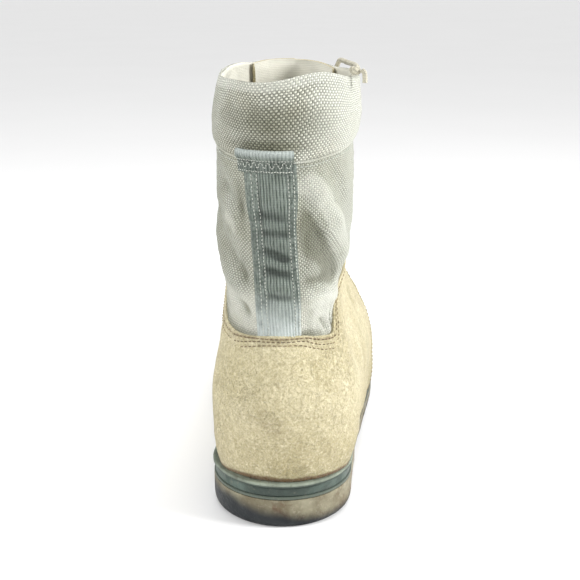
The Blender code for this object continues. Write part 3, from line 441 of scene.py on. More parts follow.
class Last:
    """The form inside the upper, as a fine grid of points and outward normals.

    Rows are levels from the welt to the collar. Columns are shares of the half ring: -1 at
    the front by the inner side, 0 at the heel seam, 1 at the front by the outer side."""
    level_steps = 421
    half_steps = 300
    ring_steps = 260

    def __init__(self):
        self.levels = np.linspace(0, COLLAR_TOP, self.level_steps)
        rings = self.ring_table()
        columns = [curve_through(np.arange(len(rings)), column, self.levels) for column in rings.T]
        self.reach = {}
        halves = {}
        for side in (-1, 1):
            line = self.half_ring(columns, side)
            at = lengths_along(line, 1)
            self.reach[side] = at[:, -1]
            places = np.linspace(0, 1, self.half_steps)[None, :] * at[:, -1:]
            halves[side] = np.array([[np.interp(spot, row, axis) for axis in points.T]
                                     for spot, row, points in zip(places, at, line)]).transpose(0, 2, 1)
        self.points = np.concatenate([halves[-1][:, ::-1], halves[1][:, 1:]], axis=1)
        self.points[..., 2] += self.sag()
        ring = self.points[:, :-1]
        across = np.roll(ring, -1, axis=1) - np.roll(ring, 1, axis=1)
        upward = np.gradient(ring, axis=0)
        normals = np.cross(across, upward)
        normals[0, :, 2] = 0
        normals = unit(normals)
        self.normals = np.concatenate([normals, normals[:, :1]], axis=1)

    def sag(self):
        """How far the worn collar sinks or stands: bells round the ring, near the top.

        The outer front corner hangs down under the lace, and the outer back stands up."""
        share = np.linspace(-1, 1, 2 * self.half_steps - 1)
        reach = np.where(share[None, :] < 0, self.reach[-1][:, None], self.reach[1][:, None])
        along = share[None, :] * reach
        level = self.levels[:, None]
        sunk = -3.4 * MM * smooth(12.0, 14.8, level) * hump(along, 92 * MM, 30 * MM)
        stood = 3.6 * MM * smooth(13.2, 15.0, level) * hump(along, 21 * MM, 12 * MM)
        dipped = -1.0 * MM * smooth(13.4, 15.0, level) * hump(along, -8 * MM, 10 * MM)
        lean = -1.5 * MM * smooth(13.0, 15.0, level) * hump(along, -55 * MM, 25 * MM)
        return sunk + stood + dipped + lean

    @staticmethod
    def ring_table():
        """Each ring's sizes in metres, the foot's rings first, in the order half_ring reads."""
        foot = np.array(FOOT_RINGS)
        scale = np.array([COUNTER_RISE, INSTEP_RISE, LAST_LENGTH, LAST_LENGTH, TIP_SHIFT,
                          LAST_HEEL_HALF, LAST_HEEL_HALF, LAST_WAIST_OUT, LAST_WAIST_IN,
                          LAST_BALL_OUT, LAST_BALL_IN, LAST_TOE_HALF, LAST_TOE_HALF,
                          HEEL_ROUND - LAST_INSET, TOE_ROUND - LAST_INSET, 1.0])
        foot = foot * scale
        foot[:, 2:4] += LAST_START
        (back_rise, front_rise, back, depth, heel_out, heel_in, mid_out, mid_in, front_out,
         front_in, brow, back_round, front_round) = np.array(SHAFT_RINGS).T
        shaft_rise = COLLAR_RISE - COUNTER_RISE
        back_y = LAST_START + back * SHAFT_DEPTH
        halves = (heel_out, heel_in, mid_out, mid_in, front_out, front_in, brow, brow)
        halves = np.array(halves) * SHAFT_HALF
        shaft = np.array([COUNTER_RISE + back_rise * shaft_rise, COUNTER_RISE + front_rise * shaft_rise,
                          back_y, back_y + depth * SHAFT_DEPTH, 0 * brow, *halves,
                          back_round * SHAFT_DEPTH, front_round * SHAFT_DEPTH, 0 * brow]).T
        return np.concatenate([foot, shaft])

    def half_ring(self, columns, side):
        """Points of every level's half ring, from the heel seam to the front."""
        (back_z, front_z, back_y, front_y, tip, heel_out, heel_in, waist_out, waist_in, ball_out,
         ball_in, toe_out, toe_in, heel_round, toe_round, follow) = (column[:, None] for column in columns)
        halves = ((heel_out, heel_out, waist_out, ball_out, toe_out, toe_out) if side > 0
                  else (heel_in, heel_in, waist_in, ball_in, toe_in, toe_in))
        share = cosine_steps(self.ring_steps)
        depth = front_y - back_y
        width = curve_through(STATIONS, np.concatenate(halves, axis=1), share)
        half = rounded_half(share * depth, depth, width, heel_round, toe_round)
        y = back_y + share * depth
        z = HEEL_STACK + FIT_GAP + back_z + (front_z - back_z) * share
        z = z + follow * (sole_top(y) - sole_top(back_y))
        x = tip * np.clip(2 * share - 1, 0, 1) ** 2 + side * half
        return np.stack([x, y, z], axis=2)

    def half_length(self, level, side):
        """Length of the half ring at a level, on the inner side where side is below 0."""
        return np.where(side < 0, np.interp(level, self.levels, self.reach[-1]),
                        np.interp(level, self.levels, self.reach[1]))

    def at(self, level, along, lift=0.0, raised=False):
        """Points at a level and a distance round the ring from the heel seam, moved out.

        The four grid points around the place are mixed in proportion, and so are their
        normals; lift runs along the normal. With raised, the normals come back too."""
        level, along, lift = np.broadcast_arrays(level, np.asarray(along, float), lift)
        reach = self.half_length(level, along)
        lean = WEBBING_LEAN * np.clip((level - SUEDE_TOP) / (LEAN_END - SUEDE_TOP), 0, 1)
        share = (along + lean * (1 - np.abs(along) / reach)) / reach
        row = np.clip(level / COLLAR_TOP, 0, 1) * (self.level_steps - 1)
        column = (np.clip(share, -1, 1) + 1) / 2 * (self.points.shape[1] - 1)
        r = np.clip(row.astype(int), 0, self.level_steps - 2)
        c = np.clip(column.astype(int), 0, self.points.shape[1] - 2)
        u = (row - r)[..., None]
        v = (column - c)[..., None]

        def mixed(grid):
            return ((grid[r, c] * (1 - v) + grid[r, c + 1] * v) * (1 - u)
                    + (grid[r + 1, c] * (1 - v) + grid[r + 1, c + 1] * v) * u)

        normal = unit(mixed(self.normals))
        point = mixed(self.points) + normal * np.asarray(lift)[..., None]
        return (point, normal) if raised else point

    def from_front(self, level, across, lift=0.0, raised=False):
        """The same, by the distance across the front line, positive on the outer side."""
        level, across, lift = np.broadcast_arrays(level, np.asarray(across, float), lift)
        side = np.where(across < 0, -1.0, 1.0)
        return self.at(level, side * (self.half_length(level, side) - np.abs(across)), lift, raised)

    def level_at_height(self, along, height, lift=0.003):
        """Level at which the column at this distance round the ring reaches a height."""
        along, height = np.broadcast_arrays(np.atleast_1d(along), np.atleast_1d(height))
        levels = np.linspace(0, COLLAR_TOP, 301)
        z = self.at(levels[:, None], along[None, :], lift)[..., 2]
        return np.array([np.interp(h, column, levels) for h, column in zip(height, z.T)])


LAST = Last()


def heel_level(rise):
    """Level whose ring meets the heel seam at this height over the heel seat."""
    rises = curve_through(np.arange(len(LAST.ring_table())), LAST.ring_table()[:, 0], LAST.levels)
    return float(np.interp(rise, rises, LAST.levels))


CUFF_LEVEL = heel_level(CUFF_RISE)


def throat_gap(level):
    """Half of the throat's opening at a level, measured round the ring."""
    share = np.clip((level - THROAT_START) / (COLLAR_TOP - THROAT_START), 0, 1)
    return THROAT_GAP_LOW + (THROAT_GAP_TOP - THROAT_GAP_LOW) * share


def fold_relief(along, height, folds):
    """How far folds stand out: each is a bell across its line, faded past its two ends.

    A place's share along the line is its dot product with the line over the line's square,
    and its distance from the nearest point of the line goes into the bell."""
    relief = np.zeros(np.broadcast(along, height).shape)
    for a0, z0, a1, z1, stand, width in folds:
        run = np.array([a1 - a0, z1 - z0]) * MM
        share = ((along - a0 * MM) * run[0] + (height - z0 * MM) * run[1]) / (run @ run)
        share = np.clip(share, 0, 1)
        off = np.hypot(along - a0 * MM - share * run[0], height - z0 * MM - share * run[1])
        relief += stand * MM * np.exp(-0.5 * (off / (width * MM)) ** 2)
    return relief


def canvas_relief(along, height):
    """The canvas's folds plus slow waves of its own, calmer towards the cuff."""
    slow = 0.45 * MM * uneven(along, height, 34 * MM, 3) + 0.16 * MM * uneven(along, height, 9 * MM, 4)
    calm = 1 - 0.6 * smooth(178 * MM, 196 * MM, height)
    return (fold_relief(along, height, CANVAS_FOLDS) + slow) * calm


def canvas_lift(level, along):
    """How far the canvas's outside lies over the last.

    The folds die away towards the throat and under the webbing, which holds the cloth flat,
    and ridges shrink under the suede."""
    height = LAST.at(level, along, CANVAS_WALL)[..., 2]
    spare = LAST.half_length(level, along) - np.abs(along) - throat_gap(level)
    flat = 0.15 + 0.85 * smooth(6 * MM, 32 * MM, spare)
    held = 0.25 + 0.75 * smooth(12 * MM, 18 * MM, np.abs(along + 1 * MM))
    under = smooth(-2 * MM, 1.5 * MM, height - suede_edge(along))
    relief = canvas_relief(along, height) * flat * held
    deepest = (-0.8 - 3 * under) * MM
    return CANVAS_WALL + np.where(relief > 0, relief * (0.25 + 0.75 * under), np.maximum(relief, deepest))


def suede_edge(along):
    """Height of the suede's upper edge at a distance round the ring, a mean of five places."""
    outer = (np.array(EDGE_OUTER) * MM).T
    inner = (np.array(EDGE_INNER) * MM).T
    places = [along + step for step in (0.0, -0.003, -0.0015, 0.0015, 0.003)]
    return sum(np.where(place >= 0, np.interp(place, *outer), np.interp(-place, *inner))
               for place in places) / len(places)


# Meshes from grids

def quad_grid(rows, columns, wrap=False, start=0):
    """Corner indices of a grid's quads, rows going up and columns going round."""
    index = start + np.arange(rows * columns).reshape(rows, columns)
    right = np.roll(index, -1, axis=1)
    last = columns if wrap else columns - 1
    return np.stack([index[:-1, :last], right[:-1, :last], right[1:, :last], index[1:, :last]],
                    axis=-1).reshape(-1, 4)


def ring_quads(rows, columns):
    """Corner indices of the quads of a grid that is closed both ways."""
    index = np.arange(rows * columns).reshape(rows, columns)
    up, right = np.roll(index, -1, axis=0), np.roll(index, -1, axis=1)
    return np.stack([index, right, np.roll(up, -1, axis=1), up], axis=-1).reshape(-1, 4)


def mesh_object(name, points, quads, uv=None, sharp=40.0, hollow=None):
    """An object at the origin from points and quads, with a map and smooth shading.

    hollow carries painted shade, up to 1, for the materials to darken: in hollows, creases and seams and on
    shaded sides, partly real dirt.
    Below 0, down to -1, it carries painted highlight that makes a point paler."""
    mesh = bpy.data.meshes.new(name)
    points = np.ascontiguousarray(points, np.float32).reshape(-1, 3)
    quads = np.ascontiguousarray(quads, np.int32)
    mesh.vertices.add(len(points))
    mesh.vertices.foreach_set("co", points.ravel())
    mesh.loops.add(quads.size)
    mesh.loops.foreach_set("vertex_index", quads.ravel())
    mesh.polygons.add(len(quads))
    mesh.polygons.foreach_set("loop_start", np.arange(0, quads.size, 4, dtype=np.int32))
    mesh.update(calc_edges=True)
    if uv is not None:
        layer = mesh.uv_layers.new(name="UVMap")
        layer.data.foreach_set("uv", np.asarray(uv, np.float32).reshape(-1, 2)[quads.ravel()].ravel())
    if hollow is not None:
        shade = mesh.attributes.new("hollow", "FLOAT", "POINT")
        shade.data.foreach_set("value", np.clip(hollow, -1, 1).astype(np.float32).ravel())
    mesh.polygons.foreach_set("use_smooth", np.ones(len(quads), bool))
    mesh.set_sharp_from_angle(angle=math.radians(sharp))
    mesh.validate()
    item = bpy.data.objects.new(name, mesh)
    bpy.context.scene.collection.objects.link(item)
    return item


def shell_object(name, outer, inner, uv, wrap=False, sharp=40.0, hollow=None, lined=False):
    """A closed sheet between two grids of points, with sides along its open edges.

    Where it is lined, its inside takes the object's second material."""
    rows, columns = outer.shape[:2]
    count = rows * columns
    front = quad_grid(rows, columns, wrap)
    back = quad_grid(rows, columns, wrap, count)[:, ::-1]
    index = np.arange(count).reshape(rows, columns)
    sides = []

    def side(line, backwards=False):
        a, b = line[:-1], line[1:]
        if backwards:
            a, b = b, a
        sides.append(np.stack([b, a, a + count, b + count], axis=1))

    def closed(line):
        return np.append(line, line[0]) if wrap else line

    side(closed(index[0]))
    side(closed(index[-1]), True)
    if not wrap:
        side(index[:, 0], True)
        side(index[:, -1])
    points = np.concatenate([outer.reshape(-1, 3), inner.reshape(-1, 3)])
    if hollow is not None:
        hollow = np.concatenate([np.broadcast_to(hollow, (rows, columns)).ravel()] * 2)
    item = mesh_object(name, points, np.concatenate([front, back, *sides]),
                       np.concatenate([uv.reshape(-1, 2)] * 2), sharp, hollow)
    if lined:
        slots = np.zeros(len(item.data.polygons), np.int32)
        slots[len(front):len(front) + len(back)] = 1
        item.data.polygons.foreach_set("material_index", slots)
    return item


def loft_object(name, loops, uv, sharp=40.0, flip=False, hollow=None):
    """A closed body from a row of closed loops, its two ends zipped shut.

    loops has a loop in each row; the end loops are paired point k with point -k."""
    rows, columns = loops.shape[:2]
    quads = [quad_grid(rows, columns, True)]
    half = columns // 2
    k = np.arange(0, half)
    for row, turn in ((0, True), (rows - 1, False)):
        base = row * columns
        cap = np.stack([base + k, base + k + 1, base + (columns - k - 1) % columns,
                        base + (columns - k) % columns], axis=1)
        cap = cap[[len(set(corners)) > 3 for corners in cap.tolist()]]
        quads.append(cap[:, ::-1] if turn else cap)
    quads = np.concatenate(quads)
    return mesh_object(name, loops.reshape(-1, 3), quads[:, ::-1] if flip else quads, uv, sharp, hollow)


def dress(item, finish, slot, *nodes, inside=None):
    """Give a piece its material and its body, and hide the solids it stands for. slot is not used.

    finish and inside are names of materials; inside is for faces with material index 1."""
    slots = np.zeros(len(item.data.polygons), np.int32)
    item.data.polygons.foreach_get("material_index", slots)
    item.data.materials.clear()
    item.data.materials.append(finish_named(finish))
    if inside is not None:
        item.data.materials.append(finish_named(inside))
        item.data.polygons.foreach_set("material_index", slots)
    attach(item, "root")
    if nodes:
        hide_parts(*nodes)
    return item


def flat_map(across, up):
    """A map in tenths of a metre from two lengths."""
    across, up = np.broadcast_arrays(across, up)
    return np.stack([across, up], axis=-1) * 10


def path_frames(points, outward):
    """Sideways and outward directions along a path, square to it and to each other."""
    tangent = unit(np.gradient(points, axis=0))
    sideways = unit(np.cross(tangent, outward))
    return sideways, np.cross(sideways, tangent)


def tube(centre, side, out, turn, wide, tall=None):
    """Rings of points at the angles in turn, wide along side and tall along out."""
    tall = wide if tall is None else tall
    return (centre[..., None, :] + side[..., None, :] * (np.cos(turn) * wide)[..., None]
            + out[..., None, :] * (np.sin(turn) * tall)[..., None])


def even_path(points, step):
    """Points about a step apart on a path of many columns, the first three being places."""
    at = lengths_along(points[:, :3])
    spots = np.linspace(0, at[-1], max(2, int(round(at[-1] / step)) + 1))
    return np.stack([np.interp(spots, at, column) for column in points.T], axis=1)


def smooth_route(points, count):
    """Points evenly along a smooth curve through a route."""
    route = np.array(points)
    at = lengths_along(route)
    places = np.linspace(0, at[-1], count)
    return np.stack([curve_through(at, route[:, axis], places) for axis in range(3)], axis=1)


def cord_object(name, points, outward, radius, sides=16, strands=8, relief=0.07):
    """A braided round cord: a circle carried along a path, swollen where strands cross.

    The radius at turn a and length s is r (1 - e + e |cos(n a + ks) cos(n a - ks)|), with e
    for relief and n for half the strands. The first and last ring are a fifth smaller."""
    sideways, out = path_frames(points, outward)
    run = lengths_along(points)
    turn = np.arange(sides) * 2 * np.pi / sides
    beat = run[:, None] * 2 * np.pi / (2.2 * radius)
    crossing = np.abs(np.cos(strands / 2 * turn + beat) * np.cos(strands / 2 * turn - beat))
    ends = np.ones(len(points))
    ends[[0, -1]] = 0.8
    swell = radius * (1 - relief + relief * crossing) * ends[:, None]
    loops = tube(points, sideways, out, turn, swell)
    uv = np.stack(np.broadcast_arrays(turn / (2 * np.pi) * 0.1, run[:, None] * 10), axis=-1)
    return loft_object(name, loops, uv, 60.0)


def stitch_object(name, rows, radius, pitch, fill=0.72, sink=0.35):
    """Rows of stitches: short arched threads laid end to end along paths.

    Each row is (points, outward). A stitch's thread follows t in 0..1 along its length,
    stands out by radius times (1.25 sin(pi t) - sink) and thins towards its two ends."""
    stations = np.linspace(0, 1, 6)
    turn = (np.arange(4) + 0.5) * np.pi / 2
    thick = radius * (0.55 + 0.45 * np.sin(np.pi * stations))
    stand = radius * (1.25 * np.sin(np.pi * stations) - sink)
    verts, starts, total = [], [], 0
    each = len(stations) * len(turn)
    single = np.concatenate([quad_grid(len(stations), len(turn), True), [[0, 3, 2, 1], [20, 21, 22, 23]]])
    for points, outward in rows:
        joined = even_path(np.concatenate([points, outward], axis=1), pitch)
        if len(joined) < 3:
            continue
        start, end = joined[:-1, :3], joined[1:, :3]
        out = unit(joined[:-1, 3:] + joined[1:, 3:])
        along = end - start
        side = unit(np.cross(along, out))
        middle = start[:, None] + along[:, None] * (0.5 + (stations - 0.5) * fill)[None, :, None]
        middle = middle + out[:, None] * stand[None, :, None]
        verts.append(tube(middle, side[:, None], out[:, None], turn, thick[:, None]).reshape(-1, 3))
        starts.append(total + np.arange(len(start)) * each)
        total += len(start) * each
    quads = (np.concatenate(starts)[:, None, None] + single[None]).reshape(-1, 4)
    return mesh_object(name, np.concatenate(verts), quads, None, 180.0)


# Materials

class Finish:
    """A material in the making: short calls that add nodes and return their outputs."""

    def __init__(self, name, roughness, specular=0.3, sheen=0.0, metallic=0.0):
        self.material = bpy.data.materials.new(name)
        self.material.use_nodes = True
        self.tree = self.material.node_tree
        self.shader = self.tree.nodes["Principled BSDF"]
        self.shader.inputs["Roughness"].default_value = roughness
        self.shader.inputs["Specular IOR Level"].default_value = specular
        self.shader.inputs["Sheen Weight"].default_value = sheen
        self.shader.inputs["Sheen Roughness"].default_value = 0.5
        self.shader.inputs["Metallic"].default_value = metallic
        self.place = self.tree.nodes.new("ShaderNodeTexCoord")

    def node(self, kind, values, **settings):
        """A node with its inputs linked or set by number or name."""
        made = self.tree.nodes.new(kind)
        for key, value in settings.items():
            setattr(made, key, value)
        for key, value in values.items():
            if isinstance(value, bpy.types.NodeSocket):
                self.tree.links.new(value, made.inputs[key])
            else:
                made.inputs[key].default_value = value
        return made

    def math(self, operation, a, b=0.0, c=0.0):
        """One step of arithmetic."""
        return self.node("ShaderNodeMath", {0: a, 1: b, 2: c}, operation=operation).outputs[0]

    def times(self, a, b):
        """One value times another."""
        return self.math("MULTIPLY", a, b)

    def scaled(self, value, by, plus):
        """A value times one number, plus another."""
        return self.math("MULTIPLY_ADD", value, by, plus)

    def mix(self, factor, a, b, how="MIX"):
        """Colour a turned into colour b by the factor."""
        a = (*a, 1.0) if isinstance(a, (tuple, list)) else a
        b = (*b, 1.0) if isinstance(b, (tuple, list)) else b
        made = self.node("ShaderNodeMix", {0: factor, 6: a, 7: b}, data_type="RGBA", blend_type=how)
        return made.outputs[2]

    def span(self, value, low, high, to_low=0.0, to_high=1.0, how="SMOOTHSTEP"):
        """A value's place between low and high, eased, as a share of the new span."""
        return self.node("ShaderNodeMapRange", {0: value, 1: low, 2: high, 3: to_low, 4: to_high},
                         interpolation_type=how).outputs[0]

    def noise(self, scale, detail=3.0, rough=0.55, where=None, twist=0.0, stretch=None):
        """Uneven pattern with this many waves to the metre."""
        where = self.place.outputs["Object"] if where is None else where
        if stretch is not None:
            where = self.node("ShaderNodeMapping", {"Vector": where, "Scale": stretch}).outputs[0]
        made = self.node("ShaderNodeTexNoise", {"Vector": where, "Scale": scale, "Detail": detail,
                                                "Roughness": rough, "Distortion": twist})
        return made.outputs[0]

    def axes(self, source="UV"):
        """The separate coordinates of the map or of the object's space."""
        return self.node("ShaderNodeSeparateXYZ", {0: self.place.outputs[source]}).outputs

    def hollow(self):
        """The mesh's own hollow attribute: painted shade where positive, painted highlight where negative.
        """
        return self.node("ShaderNodeAttribute", {}, attribute_name="hollow").outputs["Fac"]

    def weave(self, across, up, pitch, pitch_up):
        """Plain weave. Each cell shows a weft thread or a warp thread, by turns.

        A thread's height is one minus the square of the place across it, times one minus
        part of the square of the place along it. Gives the height and which thread shows."""
        u = self.math("DIVIDE", across, pitch * 10)
        v = self.math("DIVIDE", up, pitch_up * 10)
        cell = self.math("ADD", self.math("FLOOR", u), self.math("FLOOR", v))
        cell = self.math("FLOORED_MODULO", cell, 2.0)
        squares = []
        for coordinate in (u, v):
            centred = self.scaled(self.math("FRACT", coordinate), 2.0, -1.0)
            squares.append(self.times(centred, centred))
        heights = []
        for a, b in ((squares[0], squares[1]), (squares[1], squares[0])):
            crown = self.scaled(a, -1.0, 1.0)
            heights.append(self.times(crown, self.scaled(b, -0.5, 1.0)))
        both = self.node("ShaderNodeMix", {0: cell, 2: heights[0], 3: heights[1]}).outputs[0]
        return both, cell

    def relief(self, *layers):
        """Bumps on the surface: pairs of a height and its depth in metres."""
        normal = None
        for height, depth in layers:
            values = {"Strength": 1.0, "Distance": depth, "Height": height}
            if normal is not None:
                values["Normal"] = normal
            normal = self.node("ShaderNodeBump", values).outputs[0]
        self.tree.links.new(normal, self.shader.inputs["Normal"])

    def colour(self, value):
        """Link a varying colour to the shader."""
        self.tree.links.new(value, self.shader.inputs["Base Color"])

    def gloss(self, value):
        """Link a varying roughness to the shader."""
        self.tree.links.new(value, self.shader.inputs["Roughness"])


def suede_finish():
    """Rough sand suede: mottled nap, squiggly grain, smudges, dirt and painted shade at edges and seams."""
    tone = colours()
    f = Finish("suede", 0.95, 0.1, 0.25)
    hollow = f.hollow()
    _, _, z = f.axes("Object")
    broad = f.noise(24, 3)
    colour = f.mix(f.span(broad, 0.40, 0.64), tone.suede[:], tone.suede_dark[:])
    colour = f.mix(f.span(z, 0.030, 0.078, 0.55, 0.0), colour, (0.66, 0.62, 0.50), "MULTIPLY")
    grain = f.noise(470, 4, 0.75, twist=0.6)
    nap = f.noise(1050, 3, 0.8)
    colour = f.mix(f.span(grain, 0.36, 0.52, 0.60, 0.0), colour, tone.suede_shade[:])
    colour = f.mix(f.span(grain, 0.52, 0.66, 0.0, 0.55), colour, tone.suede_light[:])
    colour = f.mix(f.span(nap, 0.34, 0.52, 0.60, 0.0), colour, tone.suede_shade[:])
    colour = f.mix(f.span(nap, 0.54, 0.68, 0.0, 0.38), colour, tone.suede_light[:])
    veins = f.math("ABSOLUTE", f.math("SUBTRACT", f.noise(95, 2, 0.5, twist=3.0), 0.5))
    patchy = f.span(f.noise(26, 2, 0.5), 0.45, 0.60)
    squiggle = f.times(f.span(veins, 0.0, 0.030, 1.0, 0.0), patchy)
    colour = f.mix(f.times(squiggle, 0.35), colour, tone.suede_shade[:])
    green = f.times(f.span(f.noise(17, 2, 0.5), 0.53, 0.68), f.span(f.noise(90, 3), 0.35, 0.6))
    colour = f.mix(f.times(green, 0.32), colour, tone.suede_green[:])
    brown = f.span(f.noise(31, 4, 0.6, twist=0.8), 0.58, 0.76)
    brown = f.times(brown, f.span(f.noise(240, 3), 0.35, 0.6))
    colour = f.mix(f.times(brown, 0.28), colour, tone.suede_dirt_and_shade[:])
    # Painted shade, partly dirt, along the lower edge and beside the seams, from the hollow attribute
    ragged = f.math("ADD", hollow, f.scaled(f.noise(420, 4, 0.7), 0.9, -0.45))
    colour = f.mix(f.span(ragged, 0.25, 1.0, 0.0, 0.92), colour, tone.suede_dirt_and_shade[:])
    f.colour(colour)
    wrinkle = f.noise(190, 3, 0.55, twist=2.2, stretch=(1.0, 1.0, 0.7))
    f.relief((broad, 0.003), (wrinkle, 0.0014), (squiggle, -0.0003), (grain, 0.0011), (nap, 0.0006))
    return f.material


def canvas_finish(name, light, dark, pitch, pitch_up, grime_and_shade, pale=0.0, fade=0.2):
    """Woven cloth: pale weft over darker warp, uneven threads, painted shade between the threads
    and in the hollows, partly dirt.

    Cloth is painted paler as a highlight on ridges, towards the boot's lit outer side by fade,
    and just above the suede, where it bulges up to the light, by pale. grime_and_shade is the
    colour of its dirt blotches."""
    f = Finish(name, 0.9, 0.12, 0.15)
    across, up, _ = f.axes("UV")
    hollow = f.hollow()
    wander = f.scaled(f.noise(45, 2), 0.03, -0.015)
    across = f.math("ADD", across, wander)
    up = f.math("ADD", up, wander)
    height, cell = f.weave(across, up, pitch, pitch_up)
    thread = f.mix(f.scaled(cell, 0.9, 0.05), dark, light)
    thread = f.mix(f.span(f.noise(600, 2), 0.35, 0.65, 0.0, 0.35), thread, light)
    # Painted shade in the pits between the threads
    pit = f.span(height, 0.05, 0.8, 0.75, 0.0)
    colour = f.mix(pit, thread, tuple(0.45 * value for value in dark))
    # Painted highlight just above the suede, where the cloth bulges up to the light
    foot = f.math("ADD", up, f.scaled(f.noise(25, 2), 0.20, -0.10))
    colour = f.mix(f.span(foot, 1.18, 1.31, pale, 0.0), colour, (0.86, 0.86, 0.78))
    mottle = f.span(f.noise(30, 4, 0.6), 0.42, 0.70, 0.0, 0.45)
    colour = f.mix(mottle, colour, grime_and_shade, "MULTIPLY")
    # Painted shade from the hollow attribute, partly dirt, made uneven
    uneven_painted_shade = f.math("ADD", hollow, f.scaled(f.noise(75, 4, 0.6), 0.5, -0.25))
    depth = f.span(uneven_painted_shade, 0.05, 1.1, 0.0, 0.90)
    colour = f.mix(depth, colour, (0.36, 0.36, 0.29), "MULTIPLY")
    # Painted highlight on the ridges and on the lit outer side
    ridge = f.span(hollow, -0.9, -0.05, 0.38, 0.0)
    painted_light = f.math("MAXIMUM", ridge, f.span(f.axes("Object")[0], 0.008, 0.044, 0.0, fade))
    colour = f.mix(painted_light, colour, (0.80, 0.81, 0.73))
    f.colour(colour)
    f.relief((height, 0.0006), (f.noise(1300, 2), 0.0002))
    return f.material


def webbing_finish():
    """Ribbed webbing: ribs up its middle, woven margins, pale ends, painted shade in its grooves and
    creases, and a painted highlight on the fold's round top.
    """
    tone = colours()
    f = Finish("webbing", 0.85, 0.2, 0.1)
    across, up, _ = f.axes("UV")
    hollow = f.hollow()
    rib = f.math("COSINE", f.times(across, 2 * math.pi / (sizes().rib_pitch * 10)))
    rib = f.scaled(rib, 0.5, 0.5)
    middle = f.times(f.span(across, -0.050, -0.044), f.span(across, 0.078, 0.086, 1.0, 0.0))
    weft = f.scaled(f.math("SINE", f.times(up, 2 * math.pi / 0.0085)), 0.5, 0.5)
    stretched = f.node("ShaderNodeCombineXYZ", {0: f.times(across, 170.0), 1: f.times(up, 20.0)})
    streak = f.noise(1.0, 3, 0.6, where=stretched.outputs[0])
    # Painted shade in the grooves between the ribs
    ribbed = f.mix(f.span(rib, 0.05, 0.8), tone.webbing_dark[:], tone.webbing[:])
    margin = f.mix(f.span(f.noise(650, 3, 0.7), 0.38, 0.62), tone.webbing_dark[:], tone.webbing[:])
    colour = f.mix(middle, margin, ribbed)
    colour = f.mix(f.span(streak, 0.40, 0.68, 0.0, 0.6), colour, tone.webbing_light[:])
    # Painted shade between the weft threads
    colour = f.mix(f.span(weft, 0.2, 0.9, 0.30, 0.0), colour, tone.webbing_dark[:])
    # Paler lower end, and a painted highlight on the fold's round top
    pale = f.math("MAXIMUM", f.span(up, 1.05, 1.30, 0.80, 0.0), f.span(up, 2.170, 2.205, 0.0, 0.6))
    colour = f.mix(pale, colour, tone.webbing_pale[:])
    colour = f.mix(f.span(f.noise(60, 4), 0.50, 0.72, 0.0, 0.5), colour, tone.webbing_dark[:])
    # Painted shade from the hollow attribute: creases, the slit, the lower end under the suede, and darker
    # around 152 mm
    ragged = f.times(hollow, f.scaled(f.noise(240, 3), 1.2, 0.45))
    darkest = tuple(0.45 * value for value in tone.webbing_dark)
    colour = f.mix(f.span(ragged, 0.05, 1.0, 0.0, 0.9, "LINEAR"), colour, darkest)
    f.colour(colour)
    f.relief((rib, 0.0004), (weft, 0.0002), (f.noise(1500, 2), 0.0002))
    return f.material


def lining_finish():
    """Smooth pale lining cloth with a fine grain."""
    f = Finish("lining", 0.9, 0.15, 0.1)
    across, up, _ = f.axes("UV")
    height, _ = f.weave(across, up, 0.0008, 0.0008)
    base = colours().lining[:]
    colour = f.mix(f.span(f.noise(40, 3), 0.4, 0.7), base, tuple(0.86 * value for value in base))
    # Painted shade between the threads
    colour = f.mix(f.times(f.math("SUBTRACT", 1.0, height), 0.3), colour, (0.2, 0.2, 0.16))
    f.colour(colour)
    f.relief((height, 0.0002), (f.noise(120, 3), 0.0005))
    return f.material


def rubber_finish(name, base, second, dirt, roughness, depth=0.0004):
    """Moulded rubber: two tones, scuffs and dust, and painted shade from the hollow attribute."""
    f = Finish(name, roughness, 0.35)
    colour = f.mix(f.span(f.noise(45, 4, 0.6), 0.40, 0.66), base, second)
    colour = f.mix(f.span(f.noise(300, 4, 0.65), 0.52, 0.72, 0.0, 0.6), colour, dirt)
    # Painted shade from the hollow attribute, in the midsole's colour
    colour = f.mix(f.span(f.hollow(), 0.0, 1.0, 0.0, 0.9, "LINEAR"), colour, colours().midsole[:])
    f.colour(colour)
    f.gloss(f.span(f.noise(90, 3), 0.35, 0.7, roughness - 0.12, min(1.0, roughness + 0.15)))
    f.relief((f.noise(120, 4), depth * 2), (f.noise(900, 3), depth))
    return f.material


def midsole_finish():
    """Dark green band with a paler lip along its lower edge."""
    tone = colours()
    f = Finish("midsole", 0.42, 0.4)
    _, rise, _ = f.axes("UV")
    worn = tuple(2.4 * value for value in tone.midsole)
    base = f.mix(f.span(f.noise(50, 4), 0.45, 0.75), tone.midsole[:], worn)
    lip = f.span(rise, 0.0150, 0.0185, 1.0, 0.0)
    colour = f.mix(lip, base, tone.midsole_lip[:])
    # Painted shade in the groove over the lip
    groove = f.times(f.span(rise, 0.0165, 0.0190), f.span(rise, 0.0200, 0.0225, 1.0, 0.0))
    colour = f.mix(f.times(groove, 0.8), colour, (0.01, 0.015, 0.012))
    colour = f.mix(f.span(f.noise(380, 4, 0.7), 0.55, 0.75, 0.0, 0.35), colour, (0.25, 0.23, 0.17))
    f.colour(colour)
    f.gloss(f.span(f.noise(80, 3), 0.35, 0.7, 0.32, 0.6))
    f.relief((f.noise(150, 3), 0.0006), (f.noise(1100, 3), 0.0002))
    return f.material


